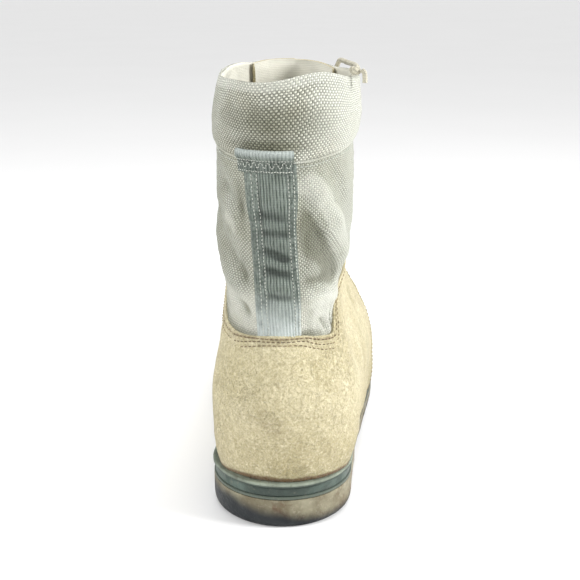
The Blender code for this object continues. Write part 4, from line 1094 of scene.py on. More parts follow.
def heel_finish():
    """Dusty heel rubber: taupe with reddish dirt, and painted shade along its lower edge, where it rounds
    under, higher on the inner side.
    """
    tone = colours()
    f = Finish("outsole", 0.6, 0.35)
    x, _, z = f.axes("Object")
    colour = f.mix(f.span(f.noise(55, 4, 0.6), 0.40, 0.68), tone.heel[:], tone.heel_light[:])
    colour = f.mix(f.span(f.noise(85, 4, 0.6, twist=0.6), 0.50, 0.72, 0.0, 0.8), colour, tone.heel_red[:])
    colour = f.mix(f.span(f.noise(420, 4, 0.7), 0.52, 0.75, 0.0, 0.5), colour, (0.38, 0.34, 0.26))
    # Painted shade along the lower edge, reaching higher on the inner side
    side = f.span(x, -0.040, 0.032, 0.0105, 0.0005)
    under_shade = f.math("SUBTRACT", z, f.scaled(f.noise(60, 3), 0.006, side))
    colour = f.mix(f.span(under_shade, -0.003, 0.0050, 0.97, 0.0), colour, tone.heel_dark[:])
    f.colour(colour)
    f.gloss(f.span(f.noise(75, 3), 0.35, 0.7, 0.42, 0.78))
    f.relief((f.noise(140, 4), 0.0009), (f.noise(800, 3), 0.0003))
    return f.material


def thread_finish(name, colour, dark=0.5):
    """Twisted sewing thread, lighter and darker from stitch to stitch."""
    f = Finish(name, 0.75, 0.25)
    f.colour(f.mix(f.span(f.noise(600, 2), 0.35, 0.65), tuple(dark * value for value in colour), colour))
    return f.material


def lace_finish():
    """Braided lace: slanting strands and a grubby tone."""
    base = colours().lace[:]
    f = Finish("lace", 0.85, 0.2, 0.2)
    around, run, _ = f.axes("UV")
    slants = [f.math("SINE", f.scaled(around, 2 * math.pi * 60, f.times(run, lead)))
              for lead in (420.0, -420.0)]
    braid = f.scaled(f.times(*slants), 0.5, 0.5)
    # Painted shade between the strands
    colour = f.mix(f.span(braid, 0.1, 0.7, 0.75, 0.0), base, tuple(0.35 * value for value in base))
    colour = f.mix(f.span(f.noise(130, 3), 0.5, 0.75, 0.0, 0.45), colour, (0.24, 0.2, 0.12))
    f.colour(colour)
    f.relief((braid, 0.00025))
    return f.material


def eyelet_finish():
    """Painted metal, worn brighter in spots."""
    f = Finish("eyelet", 0.42, 0.5, 0.0, 0.55)
    colour = f.mix(f.span(f.noise(650, 3), 0.5, 0.66), colours().eyelet[:], (0.42, 0.40, 0.32))
    f.colour(colour)
    f.relief((f.noise(900, 2), 0.00015))
    return f.material


def finish_named(name):
    """One of the boot's materials, made on its first use."""
    found = bpy.data.materials.get(name)
    if found is not None:
        return found
    tone = colours()
    pitch, cuff_pitch = sizes().canvas_pitch, sizes().cuff_pitch
    makers = {
        "suede_nap": suede_finish,
        "canvas_cloth": lambda: canvas_finish(name, tone.canvas_light[:], tone.canvas_dark[:], pitch, pitch,
                                              (0.66, 0.65, 0.54), 0.50),
        "cuff_cloth": lambda: canvas_finish(name, tone.cuff_light[:], tone.cuff_dark[:], cuff_pitch,
                                            1.2 * cuff_pitch, (0.66, 0.62, 0.52), 0.0, 0.45),
        "webbing_cloth": webbing_finish,
        "lining_cloth": lining_finish,
        "welt_rubber": lambda: rubber_finish(name, tone.welt[:], tuple(0.6 * value for value in tone.welt),
                                             (0.10, 0.10, 0.07), 0.6),
        "midsole_rubber": midsole_finish,
        "heel_rubber": heel_finish,
        "insole_cloth": lambda: canvas_finish(name, tuple(1.6 * value for value in tone.insole),
                                              tone.insole[:], 0.0012, 0.0012, (0.6, 0.6, 0.5)),
        "thread_light": lambda: thread_finish(name, tone.thread_light[:], 0.7),
        "thread_dark": lambda: thread_finish(name, tone.thread_dark[:]),
        "thread_sand": lambda: thread_finish(name, tone.thread_sand[:]),
        "lace_cord": lace_finish,
        "eyelet_metal": eyelet_finish,
    }
    made = makers[name]()
    made.name = name
    return made


# The stage and the lace's loose end

class BOOT_OT_stage(bpy.types.Operator):
    """Pale floor, soft lights and the camera behind the boot"""
    bl_idname = "boot.stage"
    bl_label = "Stage"

    def execute(self, context):
        self.camera(context.scene)
        self.floor()
        self.lights(context.scene)
        return {"FINISHED"}

    def camera(self, scene):
        """The photograph's place and slant, turned and zoomed onto the one boot."""
        right = Vector((math.cos(CAMERA_TURN), math.sin(CAMERA_TURN), 0.0))
        level = Vector((-right.y, right.x, 0.0))
        ahead = level * math.cos(CAMERA_SLANT) + Vector((0.0, 0.0, -math.sin(CAMERA_SLANT)))
        aim = ahead * PHOTO_FOCAL + right * PHOTO_RIGHT + right.cross(ahead) * PHOTO_UP
        data = bpy.data.cameras.new("camera")
        data.lens = SENSOR_WIDTH * PHOTO_FOCAL * sizes().view_share / PHOTO_BOOT_HEIGHT
        data.clip_start = 0.01
        item = bpy.data.objects.new("camera", data)
        item.location = CAMERA_PLACE
        item.rotation_euler = aim.to_track_quat("-Z", "Y").to_euler()
        scene.collection.objects.link(item)
        scene.camera = item

    def floor(self):
        """A plain pale floor that reaches far past the picture."""
        corners = [(x * FLOOR_HALF, y * FLOOR_HALF, 0) for x, y in ((-1, -1), (1, -1), (1, 1), (-1, 1))]
        item = mesh_object("floor", corners, [[0, 1, 2, 3]])
        f = Finish("floor", 0.85, 0.1)
        base = colours().floor[:]
        f.colour(f.mix(f.span(f.noise(3, 2), 0.3, 0.7), base, tuple(0.99 * value for value in base)))
        item.data.materials.append(f.material)

    @staticmethod
    def light(scene, name, kind, power, toward, place=(0.0, 0.0, 0.0)):
        """A light of one kind and power that shines in the direction toward."""
        data = bpy.data.lights.new(name, kind)
        data.energy = power
        item = bpy.data.objects.new(name, data)
        item.location = place
        item.rotation_euler = Vector(toward).to_track_quat("-Z", "Y").to_euler()
        scene.collection.objects.link(item)
        return data

    def lights(self, scene):
        """A strong panel on the outer side, weaker ones inside and behind, and a broad sun.

        The sky is brightest at the horizon and dims as rays rise."""
        for name, place, size, power in PANELS:
            toward = Vector(PANEL_TARGET) - Vector(place)
            self.light(scene, name, "AREA", power, toward, place).size = size
        self.light(scene, "light_above", "SUN", SUN_POWER, SUN_DIRECTION).angle = SUN_SPREAD
        world = bpy.data.worlds.new("studio")
        world.use_nodes = True
        tree = world.node_tree
        ray = tree.nodes.new("ShaderNodeTexCoord").outputs["Generated"]
        rise = tree.nodes.new("ShaderNodeSeparateXYZ")
        tree.links.new(ray, rise.inputs[0])
        fade = tree.nodes.new("ShaderNodeMapRange")
        tree.links.new(rise.outputs[2], fade.inputs[0])
        for socket, value in enumerate((0.0, SKY_FADE_END, SKY_AT_HORIZON, SKY_ABOVE), start=1):
            fade.inputs[socket].default_value = value
        background = tree.nodes["Background"]
        background.inputs["Color"].default_value = (1.0, 1.0, 1.0, 1.0)
        tree.links.new(fade.outputs[0], background.inputs["Strength"])
        scene.world = world
        scene.view_settings.view_transform = "Standard"


class BOOT_OT_lace_end(bpy.types.Operator):
    """The lace's loose end over the collar, its knot and its short tail"""
    bl_idname = "boot.lace_end"
    bl_label = "Lace end"

    def execute(self, context):
        radius = sizes().lace_diameter / 2
        points = smooth_route(LACE_END_ROUTE, 120)
        outward = np.tile((0.35, -0.1, 0.93), (len(points), 1))
        end = cord_object("lace_end", points, outward, radius)
        dress(end, "lace_cord", "lace", "lace_end_lateral")
        knot = self.knot(radius)
        tail_points = smooth_route(LACE_TAIL_ROUTE, 30)
        outward = np.tile((0.9, 0.4, 0.1), (len(tail_points), 1))
        tail = cord_object("lace_tail", tail_points, outward, 0.9 * radius)
        dress(tail, "lace_cord", "lace", "lace_tail_lateral")
        return {"FINISHED"}

    def knot(self, radius):
        """An overhand knot: the curve sin t + 2 sin 2t, cos t - 2 cos 2t, -1.4 sin 3t, pulled tight."""
        turn = np.linspace(0, 2 * np.pi, 181)[:-1]
        centre = np.stack([np.sin(turn) + 2 * np.sin(2 * turn), np.cos(turn) - 2 * np.cos(2 * turn),
                           -1.4 * np.sin(3 * turn)], axis=1) * 0.62 * MM
        centre = centre + np.array(KNOT_PLACE)
        ahead = unit(np.roll(centre, -1, axis=0) - np.roll(centre, 1, axis=0))
        side = unit(np.cross(ahead, np.array(KNOT_PLACE) - centre))
        ring = np.arange(14) * 2 * np.pi / 14
        thick = 0.92 * radius * (1 + 0.05 * np.cos(4 * ring + turn[:, None] * 30))
        loops = tube(centre, side, np.cross(side, ahead), ring, thick)
        uv = np.stack(np.broadcast_arrays(ring / (2 * np.pi) * 0.1, turn[:, None] * 0.02), axis=-1)
        item = mesh_object("lace_knot_tied", loops, ring_quads(*loops.shape[:2]), uv, 60.0)
        return dress(item, "lace_cord", "lace", "lace_knot")


# The sole

def pulled_ends(share):
    """Places along the sole, with a last ring close to each tip instead of on it."""
    share[0] = 0.25 * share[1]
    share[-1] = 1 - 0.25 * (1 - share[-2])
    return share


def bridge(start, end, t):
    """Rows of points on straight lines from start to end, at the shares t."""
    return start[:, None] + (end - start)[:, None] * t[None, :, None]


def wall_pair(insets, share, height_at):
    """Grids of points up both walls of a sole layer; height_at takes side, number and y."""
    walls = {}
    for side in (1, -1):
        wall = []
        for number, inset in enumerate(insets):
            x, y = sole_outline(inset, share, side)
            wall.append(np.stack([x, y, height_at(side, number, y)], axis=1))
        walls[side] = np.array(wall).transpose(1, 0, 2)
    return walls


def closed_loops(low, walls, high):
    """Loops that start in the middle of the bottom and go up one wall and down the other."""
    half = low.shape[1] // 2
    return np.concatenate([low[:, half:-1], walls[1], high[:, 1:-1], walls[-1][:, ::-1], low[:, 1:half]],
                          axis=1)


def sole_loops(insets, heights, rows=300, bottom=21, top=21):
    """Loops round the sole, one for each place along it.

    insets and heights run up the wall; heights gives z from y for each of them. The bottom
    and the top are straight lines between the walls' ends, at cosine spacing."""
    share = pulled_ends(cosine_steps(rows))
    walls = wall_pair(insets, share, lambda side, number, y: heights[number](y))
    low = bridge(walls[-1][:, 0], walls[1][:, 0], cosine_steps(bottom))
    high = bridge(walls[1][:, -1], walls[-1][:, -1], cosine_steps(top))
    return closed_loops(low, walls, high)


class BOOT_OT_sole(bpy.types.Operator):
    """Welt ledge, dark midsole band with its lip, and the lugged outsole"""
    bl_idname = "boot.sole"
    bl_label = "Sole"

    def execute(self, context):
        self.welt()
        self.midsole()
        self.outsole()
        self.insole()
        return {"FINISHED"}

    @staticmethod
    def loop_map(loops):
        """Map of a sole layer: length along it, and height over the layer's lowest point there."""
        rise = loops[..., 2] - loops[..., 2].min(axis=1, keepdims=True)
        return flat_map(loops[..., 1], rise)

    def welt(self):
        """A thin ledge whose two edges are rounded: the inset grows to 0.6 mm at both."""
        h = np.linspace(0, 1, 9)
        insets = 0.6 * MM * (1 - np.sqrt(1 - np.clip(2 * np.abs(h - 0.5), 0, 1) ** 3))
        heights = [lambda y, s=s: sole_top(y) - WELT_THICK * (1 - s) for s in h]
        loops = sole_loops(insets, heights, 320)
        # Painted shade on the lower part of the welt's side, under its lit top edge, and a painted shadow
        # on the inner side at the back
        side = smooth(0.62, 0.40, (loops[..., 2] - loops[..., 2].min(axis=1, keepdims=True)) / WELT_THICK)
        shadow = 0.6 * smooth(-0.01, -0.05, loops[..., 0]) * (loops[..., 1] < 0.03)
        item = loft_object("welt_ledge", loops, self.loop_map(loops), hollow=np.maximum(side, shadow))
        dress(item, "welt_rubber", "welt", "welt")

    def midsole(self):
        """The band: a lip over its lowest quarter, a groove over the lip, then a flat wall."""
        h = np.array([0, 0.03, 0.08, 0.17, 0.22, 0.25, 0.28, 0.31, 0.34, 0.6, 0.92, 0.97, 1.0])
        share = np.array([0.75, 0.55, 0.5, 0.5, 0.62, 1.05, 1.3, 1.2, 1.0, 0.96, 1.0, 1.1, 1.35])
        top = WELT_THICK + FIT_GAP
        heights = [lambda y, s=s: sole_top(y) - top - MIDSOLE_THICK * (1 - s) for s in h]
        loops = sole_loops(share * MIDSOLE_INSET, heights, 360)
        x, y, z = np.moveaxis(loops, -1, 0)
        # The mould's seam stands out at the back of the heel; y is a view of the loops
        y -= 0.25 * MM * hump(x, 0.5 * MM, 0.35 * MM) * (y < -0.03) * (z < HEEL_STACK - 6.6 * MM)
        dress(loft_object("midsole_band", loops, self.loop_map(loops)), "midsole_rubber",
              "midsole", "midsole")

    def tread(self, x, y):
        """Height of the underside: lugs on the floor, cut by grooves, a channel and the arch."""
        ground = sole_bottom(y)
        depth = np.zeros_like(x)
        for k in range(FOREFOOT_GROOVES):
            middle = FOREFOOT_START + (k + FIRST_GROOVE) * LUG_PITCH
            depth = np.maximum(depth, LUG_DEPTH * (np.abs(y - middle) < LUG_GAP / 2))
        start = FOREFOOT_START + FIRST_GROOVE * LUG_PITCH
        end = start + (FOREFOOT_GROOVES - 1) * LUG_PITCH
        channel = (np.abs(x) < LUG_GAP / 2) & (y > start) & (y < end)
        depth = np.maximum(depth, np.where(channel, CHANNEL_DEPTH - ground, 0))
        for k in range(HEEL_GROOVES):
            middle = HEEL_BREAST - (k + 1) * LUG_PITCH
            inside = (np.abs(y - middle) < LUG_GAP / 2) & (np.abs(x) < SOLE_HEEL_HALF - HEEL_LUG_RIM)
            depth = np.maximum(depth, LUG_DEPTH * inside)
        share = (y - HEEL_BREAST) / ARCH_LENGTH
        fall = np.clip((share - ARCH_FALL_START) / (1 - ARCH_FALL_START), 0, 1)
        roof = (sole_top(y) - self.outsole_top - SHANK_THICK) * (1 - fall * fall * (3 - 2 * fall))
        arch = np.where((share > 0) & (share < 1), roof, 0)
        return np.maximum(ground + depth, arch)

    outsole_top = WELT_THICK + 2 * FIT_GAP + MIDSOLE_THICK

    def outsole(self):
        """Walls rounded into the floor, and an underside whose height is the tread's."""
        inset = HEEL_EDGE_ROUND
        middles = [FOREFOOT_START + (k + FIRST_GROOVE) * LUG_PITCH for k in range(FOREFOOT_GROOVES)]
        middles += [HEEL_BREAST - (k + 1) * LUG_PITCH for k in range(HEEL_GROOVES)]
        near = 0.02 * MM
        beside = [side * (LUG_GAP / 2 + off) for side in (-1, 1) for off in (-near, near)]
        edges = [middle + off for middle in middles for off in beside]
        edges = np.array(edges + [HEEL_BREAST - near, HEEL_BREAST + near, FOREFOOT_START])
        edges = (edges - HEEL_END - inset) / (SOLE_LENGTH - 2 * inset)
        share = pulled_ends(np.unique(np.concatenate([cosine_steps(330), edges])))
        h = np.array([0, 0.015, 0.04, 0.08, 0.14, 0.22, 0.34, 0.55, 0.8, 0.95, 1.0])
        insets = HEEL_EDGE_ROUND * (0.16 + 0.84 * (1 - h) ** 9)
        insets[-1] += 0.25 * MM
        ground = {side: self.tread(*sole_outline(insets[0], share, side)) for side in (1, -1)}

        def height_at(side, number, y):
            return ground[side] + h[number] * (sole_top(y) - self.outsole_top - ground[side])

        walls = wall_pair(insets, share, height_at)
        low = bridge(walls[-1][:, 0], walls[1][:, 0], cosine_steps(81))
        low[..., 2] = self.tread(low[..., 0], low[..., 1])
        low[:, 0, 2], low[:, -1, 2] = walls[-1][:, 0, 2], walls[1][:, 0, 2]
        high = bridge(walls[1][:, -1], walls[-1][:, -1], np.linspace(0, 1, 9))
        loops = closed_loops(low, walls, high)
        item = loft_object("outsole_rubber", loops, self.loop_map(loops), 35.0)
        dress(item, "heel_rubber", "outsole", "outsole")

    def insole(self):
        """A flat pad with a rounded upper edge, inside the upper on the sole's top."""
        base = LAST_INSET + INSOLE_CLEARANCE
        h = np.array([0, 0.3, 0.6, 0.8, 0.93, 1.0])
        insets = base + 1.2 * MM * np.array([0, 0, 0.05, 0.25, 0.6, 1.1])
        heights = [lambda y, s=s: sole_top(y) + FIT_GAP + INSOLE_THICK * s for s in h]
        loops = sole_loops(insets, heights, 200)
        uv = flat_map(loops[..., 0], loops[..., 1])
        dress(loft_object("insole_pad", loops, uv), "insole_cloth", "lining", "insole")


# Suede

def quarter_share(level):
    """Share of the half ring at which the quarters end at the front."""
    rows = np.array(QUARTER_FRONT)
    hidden = 1 - (throat_gap(level) + 4 * MM) / LAST.half_length(level, 1.0)
    return np.minimum(curve_through(rows[:, 0], rows[:, 1], level), hidden)


def quarter_top(columns):
    """Level at which each of the quarters' columns meets the suede's upper edge."""
    levels = np.linspace(4.0, COLLAR_TOP - 0.3, 500)
    share = quarter_share(levels)[:, None] * columns[None, :]
    along = share * LAST.half_length(levels[:, None], share)
    over = LAST.at(levels[:, None], along, SUEDE_WALL)[..., 2] - suede_edge(along)
    first = np.argmax(over > 0, axis=0)
    first = np.where((over > 0).any(axis=0), first, len(levels) - 1)
    before = np.maximum(first - 1, 0)
    pick = np.arange(len(columns))
    low, high = over[before, pick], over[first, pick]
    share = np.where(high > low, np.clip(-low / np.where(high > low, high - low, 1), 0, 1), 0)
    return levels[before] + share * (levels[first] - levels[before])


def suede_relief(along, height):
    """Suede's slow unevenness, with soft wrinkles in the middle of the heel."""
    slow = 0.35 * MM * uneven(along, height, 42 * MM, 11) + 0.12 * MM * uneven(along, height, 11 * MM, 12)
    place = hump(along, 4 * MM, 16 * MM) * hump(height, 76 * MM, 11 * MM)
    return slow + 0.22 * MM * uneven(along, height, 5 * MM, 13) * place


class BOOT_OT_suede(bpy.types.Operator):
    """Vamp and quarters in suede, their seams and the loose hairs along the lower edge"""
    bl_idname = "boot.suede"
    bl_label = "Suede"

    def execute(self, context):
        self.quarters()
        self.vamp()
        self.hairs()
        return {"FINISHED"}

    def quarters(self):
        """Grid of shares round the back and shares up to the edge, lifted off the last."""
        rows, columns = 98, 310
        s = np.linspace(-1, 1, columns)
        top = quarter_top(s)
        t = np.linspace(0, 1, rows)[:, None]
        level = top[None, :] * t
        share = quarter_share(level) * s[None, :]
        along = share * LAST.half_length(level, share)
        height = LAST.at(level, along)[..., 2]
        to_edge = np.minimum((1 - np.abs(s))[None, :] * 140 * MM, (1 - t) * 110 * MM)
        rounding = 0.7 * MM * (1 - smooth(0, 1.8 * MM, to_edge))
        swell = 0.5 * MM * smooth(0.85, 1.0, np.abs(s))[None, :] * (1 - smooth(5.0, 6.2, level))
        swell = swell + self.over_strap(along, height)
        below = (1 - t) * QUARTER_HEIGHT
        seam = 0.35 * MM * sum(hump(below, depth * MM, 0.8 * MM) for depth, _, _ in SEAM_SHADES)
        seam = seam * (np.abs(along) < 60 * MM)
        lift = SUEDE_WALL + swell + suede_relief(along, height) - rounding - seam
        lift = np.where(t == 0, SUEDE_WALL - 0.5 * MM, lift)
        outer = LAST.at(level, along, lift)
        inner = LAST.at(level, along, 1.0 * MM)
        self.stand_on_ledge(outer, inner)
        run = lengths_along(outer)
        # Painted shade, partly dirt, beside the seams at the back and along the lower edge
        behind = smooth(60 * MM, 25 * MM, np.abs(along))
        hollow = behind * sum(dark * hump(below, depth * MM, wide * MM)
                              for depth, dark, wide in SEAM_SHADES)
        hollow = np.maximum(hollow, smooth(5.2 * MM, 0.9 * MM, run) * (0.75 + 0.45 * behind))
        item = shell_object("suede_quarters", outer, inner, flat_map(along, run), hollow=hollow)
        dress(item, "suede_nap", "suede", "upper")
        self.quarter_seams(s)

    @staticmethod
    def stand_on_ledge(*grids):
        """Put the lowest row of each grid just over the sole's top, at the first grid's places."""
        ledge = sole_top(grids[0][0, :, 1])
        for grid in grids:
            grid[0, :, 2] = ledge + 0.1 * MM

    @staticmethod
    def over_strap(along, height):
        """The suede stands out over the webbing's lower end."""
        return 0.75 * MM * smooth(17 * MM, 12.5 * MM, np.abs(along)) * smooth(88 * MM, 98 * MM, height)

    def quarter_seams(self, s):
        """Three rows under the top edge and two along the front seam."""
        top = quarter_top(s)
        sewn = {"thread_dark": [], "thread_sand": []}
        for depth, thread, low, high in TOP_SEAMS:
            level = top - depth * MM / LEVEL_HEIGHT
            share = quarter_share(level) * s
            along = share * LAST.half_length(level, share)
            use = (along > low * MM) & (along < high * MM)
            level, along = level[use], along[use]
            height = LAST.at(level, along)[..., 2]
            lift = SUEDE_WALL + suede_relief(along, height) + self.over_strap(along, height) - 0.15 * MM
            sewn[thread].append(LAST.at(level, along, lift, True))
        for side in (-1, 1):
            for back in (2.0, 4.8):
                level = np.linspace(0.12, 5.5, 160)
                share = quarter_share(level) * side
                along = share * LAST.half_length(level, share) - side * back * MM
                height = LAST.at(level, along)[..., 2]
                lift = SUEDE_WALL + 0.5 * MM * (1 - smooth(5.0, 6.2, level)) + suede_relief(along, height)
                sewn["thread_sand"].append(LAST.at(level, along, lift, True))
        for thread, rows in sewn.items():
            name = thread.replace("thread", "suede_stitches")
            item = stitch_object(name, rows, sizes().thread_radius, sizes().stitch_length)
            dress(item, thread, "suede")

    def vamp(self):
        """Grid of levels and distances across the front, tucked under the quarters."""
        rows, columns = 84, 230
        level = np.linspace(0, 6.15, rows)[:, None]
        s = np.linspace(-1, 1, columns)[None, :]
        side = np.where(s < 0, -1.0, 1.0)
        half = LAST.half_length(level, side)
        width = half * (1 - quarter_share(level)) + 7 * MM
        across = width * s
        height = LAST.from_front(level, across)[..., 2]
        under = smooth(0, 6 * MM, np.abs(across) - (width - 9 * MM))
        crease = fold_relief(across, height, ((-60, 78, 60, 76, -0.9, 3.2), (-52, 88, 50, 86, -0.8, 3.0),
                                              (-56, 70, 58, 69, 0.5, 3.0), (-50, 83, 48, 82, 0.5, 2.6)))
        lift = SUEDE_WALL - 0.5 * MM - 1.0 * MM * under + suede_relief(across + 0.3, height) + crease
        lift = np.where(level == 0, SUEDE_WALL - 0.9 * MM, lift)
        outer = LAST.from_front(level, across, lift)
        inner = LAST.from_front(level, across, 1.0 * MM)
        self.stand_on_ledge(outer, inner)
        item = shell_object("suede_vamp", outer, inner, flat_map(across, lengths_along(outer)))
        dress(item, "suede_nap", "suede", "upper")

    def hairs(self):
        """Tapered blades of three sides, leaning down and out along the suede's lower edge."""
        draw = np.random.default_rng(21)
        count = HAIR_COUNT
        share = draw.uniform(-0.62, 0.62, count)
        level = draw.uniform(0.02, 0.16, count)
        along = share * LAST.half_length(level, share)
        root, out = LAST.at(level, along, SUEDE_WALL - 0.25 * MM, True)
        length = sizes().hair_length * draw.uniform(0.35, 1.0, count)
        lean = out * draw.uniform(0.3, 0.9, (count, 1)) + draw.normal(0, 0.45, (count, 3))
        lean[:, 2] -= draw.uniform(0.1, 0.8, count)
        lean = unit(lean)
        side = unit(np.cross(lean, out))
        third = np.cross(side, lean)
        turn = np.arange(4) * np.pi / 2
        stations = np.array([0.0, 0.5, 1.0])
        thick = 0.07 * MM * np.array([1.0, 0.7, 0.15])
        bend = third[:, None] * (0.25 * stations**2)[None, :, None] * length[:, None, None]
        middle = root[:, None] + lean[:, None] * stations[None, :, None] * length[:, None, None] + bend
        shape = tube(middle, side[:, None], third[:, None], turn, thick[:, None])
        single = np.concatenate([quad_grid(3, 4, True), [[3, 2, 1, 0], [8, 9, 10, 11]]])
        quads = (np.arange(count)[:, None, None] * 12 + single[None]).reshape(-1, 4)
        item = mesh_object("suede_hairs", shape.reshape(-1, 3), quads, None, 180.0)
        dress(item, "thread_dark", "suede")


# Canvas, cuff and lining

def open_ring(level, columns, past):
    """Distances round the ring between the throat's edges, less a margin, and their sides."""
    s = np.linspace(-1, 1, columns)[None, :]
    side = np.where(s < 0, -1.0, 1.0)
    return side * (LAST.half_length(level, side) - throat_gap(level) - past) * np.abs(s), side


class BOOT_OT_shaft(bpy.types.Operator):
    """Canvas shaft, padded cuff, hem line and lining"""
    bl_idname = "boot.shaft"
    bl_label = "Shaft"

    def execute(self, context):
        self.canvas()
        self.cuff()
        self.hem()
        self.lining()
        return {"FINISHED"}

    def canvas(self):
        """Levels from under the suede to the cuff's seam, by distances round the ring."""
        level = np.linspace(5.9, CUFF_LEVEL, 115)[:, None]
        along, _ = open_ring(level, 330, 0.6 * MM)
        height = LAST.at(level, along, CANVAS_WALL)[..., 2]
        lift = canvas_lift(level, along)
        outer = LAST.at(level, along, lift)
        inner = LAST.at(level, along, np.minimum(lift - 0.7 * MM, 0.8 * MM))
        # The hollow attribute: painted shade in the fold valleys, weaker off the back, painted highlight on
        # the ridges, the painted shading table, a painted shadow beside the strap, and painted shade just
        # above the suede's edge and on the inner side
        valleys = smooth(0.1 * MM, 3.6 * MM, CANVAS_WALL - lift)
        behind = smooth(-36 * MM, -16 * MM, along) * smooth(70 * MM, 45 * MM, along)
        valleys = valleys * (0.30 + 0.70 * behind)
        ridges = smooth(0.2 * MM, 2.4 * MM, lift - CANVAS_WALL)
        broad = fold_relief(along, height, CANVAS_PAINTED_SHADING) / MM
        left_strip = smooth(120 * MM, 150 * MM, height) * smooth(192 * MM, 176 * MM, height)
        beside = 0.55 * hump(along, -17.5 * MM, 3 * MM) * left_strip
        beside = beside + 0.45 * hump(along, 16 * MM, 3.5 * MM) * smooth(182 * MM, 165 * MM, height)
        edge = 0.6 * smooth(4 * MM, 0, height - suede_edge(along)) * (height > suede_edge(along) - 2 * MM)
        left = 0.30 * smooth(-14 * MM, -50 * MM, along)
        item = shell_object("canvas_shaft", outer, inner, flat_map(along, height),
                            hollow=0.85 * valleys - 0.8 * ridges + broad + beside + edge + left)
        dress(item, "canvas_cloth", "suede", "upper")

    def cuff(self):
        """A closed section carried round the collar: out over the pad, over the rim, inside.

        The section's rows are (level, lift, rise): lift grows from the seam to the pad, a
        half circle turns it over the rim, and it comes back down a little way inside."""
        seam = CUFF_LEVEL - 0.02
        up = np.linspace(0, 1, 44) ** 1.2
        level = seam + (COLLAR_TOP - seam) * up
        pad = CANVAS_WALL + curve_through((0, 0.04, 0.10, 0.22, 0.5, 0.8, 1.0),
                                          np.array((0.5, 1.5, 2.2, 2.55, 2.5, 2.0, 1.4)) * MM, up)
        rim = 0.5 * (pad[-1] + 0.3 * MM)
        turn = np.linspace(0, np.pi, 11)[1:-1]
        level = np.concatenate([level, np.full(9, COLLAR_TOP),
                                np.linspace(COLLAR_TOP, COLLAR_TOP - 0.16, 5)])
        lift = np.concatenate([pad, rim * (1 + np.cos(turn)) - 0.3 * MM, np.full(5, -0.3 * MM)])
        rise = np.concatenate([np.zeros(44), rim * np.sin(turn), np.zeros(5)])
        closing = np.linspace(COLLAR_TOP - 0.16, seam, 10)
        level = np.concatenate([level, closing])[:, None]
        lift = np.concatenate([lift, np.full(10, 0.9 * MM)])[:, None]
        rise = np.concatenate([rise, np.zeros(10)])[:, None]
        along, side = open_ring(level, 420, 0.6 * MM)
        height = LAST.at(level, along)[..., 2]
        spare = LAST.half_length(level, side) - np.abs(along) - throat_gap(level)
        taper = smooth(0, 15 * MM, spare - 17 * MM)
        outside = lift > CANVAS_WALL
        waves = 0.5 * MM * uneven(along, height, 46 * MM, 31)
        waves = waves + 0.12 * MM * uneven(along, height, 12 * MM, 32)
        hollow = -1.6 * MM * hump(along, -2.4 * MM, 13 * MM) * hump(height, 203.5 * MM, 2.6 * MM)
        dip = -1.5 * MM * hump(along, -4 * MM, 17 * MM) * hump(height, 219 * MM, 9 * MM)
        lift = np.where(outside, CANVAS_WALL + (lift - CANVAS_WALL) * (0.12 + 0.88 * taper)
                        + (waves + hollow + dip) * taper, lift)
        points = LAST.at(level, along, lift)
        points[..., 2] += rise * (0.4 + 0.6 * taper)
        run = lengths_along(points[:, 210])
        loops = points.transpose(1, 0, 2)
        uv = flat_map(along.T, run[None, :] * np.ones((420, 1)))
        # Painted shade in the cuff's concave middle, a painted shadow just above the webbing's fold and
        # painted shade on the inner side
        middle = hump(along, 2 * MM, 24 * MM) * (0.85 * hump(height, 214.5 * MM, 8.5 * MM))
        shadow = 0.8 * hump(height, 202.5 * MM, 2.2 * MM) * hump(along, -2.4 * MM, 14 * MM)
        left = 0.25 * smooth(-20 * MM, -60 * MM, along)
        grime_and_shade = (middle + shadow + left) * outside * smooth(229 * MM, 221 * MM, height)
        # Painted highlight along the rim, where the pad rolls over
        grime_and_shade = grime_and_shade - 0.85 * smooth(0.86, 0.97, (level - seam) / (COLLAR_TOP - seam)) * outside
        item = loft_object("padded_cuff", loops, uv, 50.0, flip=True, hollow=grime_and_shade.T)
        slots = np.zeros(len(item.data.polygons), np.int32)
        slots[:419 * loops.shape[1]].reshape(419, -1)[:, 49:] = 1
        item.data.polygons.foreach_set("material_index", slots)
        dress(item, "cuff_cloth", "suede", "upper", inside="lining_cloth")

    def hem(self):
        """A narrow piping under the cuff's lower edge: an ellipse carried round the ring."""
        level = np.full(420, CUFF_LEVEL - 0.015)
        along = open_ring(level, 420, 14 * MM)[0][0]
        lift = canvas_lift(level, along) + 0.5 * MM
        centre, out = LAST.at(level, along, lift, True)
        sideways, out = path_frames(centre, out)
        turn = np.arange(10) * 2 * np.pi / 10
        loops = tube(centre, sideways, out, turn, 0.65 * MM, 0.75 * MM)
        uv = flat_map(along[:, None], turn[None, :] * MM)
        item = loft_object("hem_piping", loops, uv, 60.0)
        dress(item, "canvas_cloth", "suede", "upper")
        lower = level - 0.14
        rows = [LAST.at(lower, along, canvas_lift(lower, along) + 0.1 * MM, True)]
        item = stitch_object("hem_stitches", rows, 0.8 * sizes().thread_radius, sizes().stitch_length)
        dress(item, "thread_light", "suede")

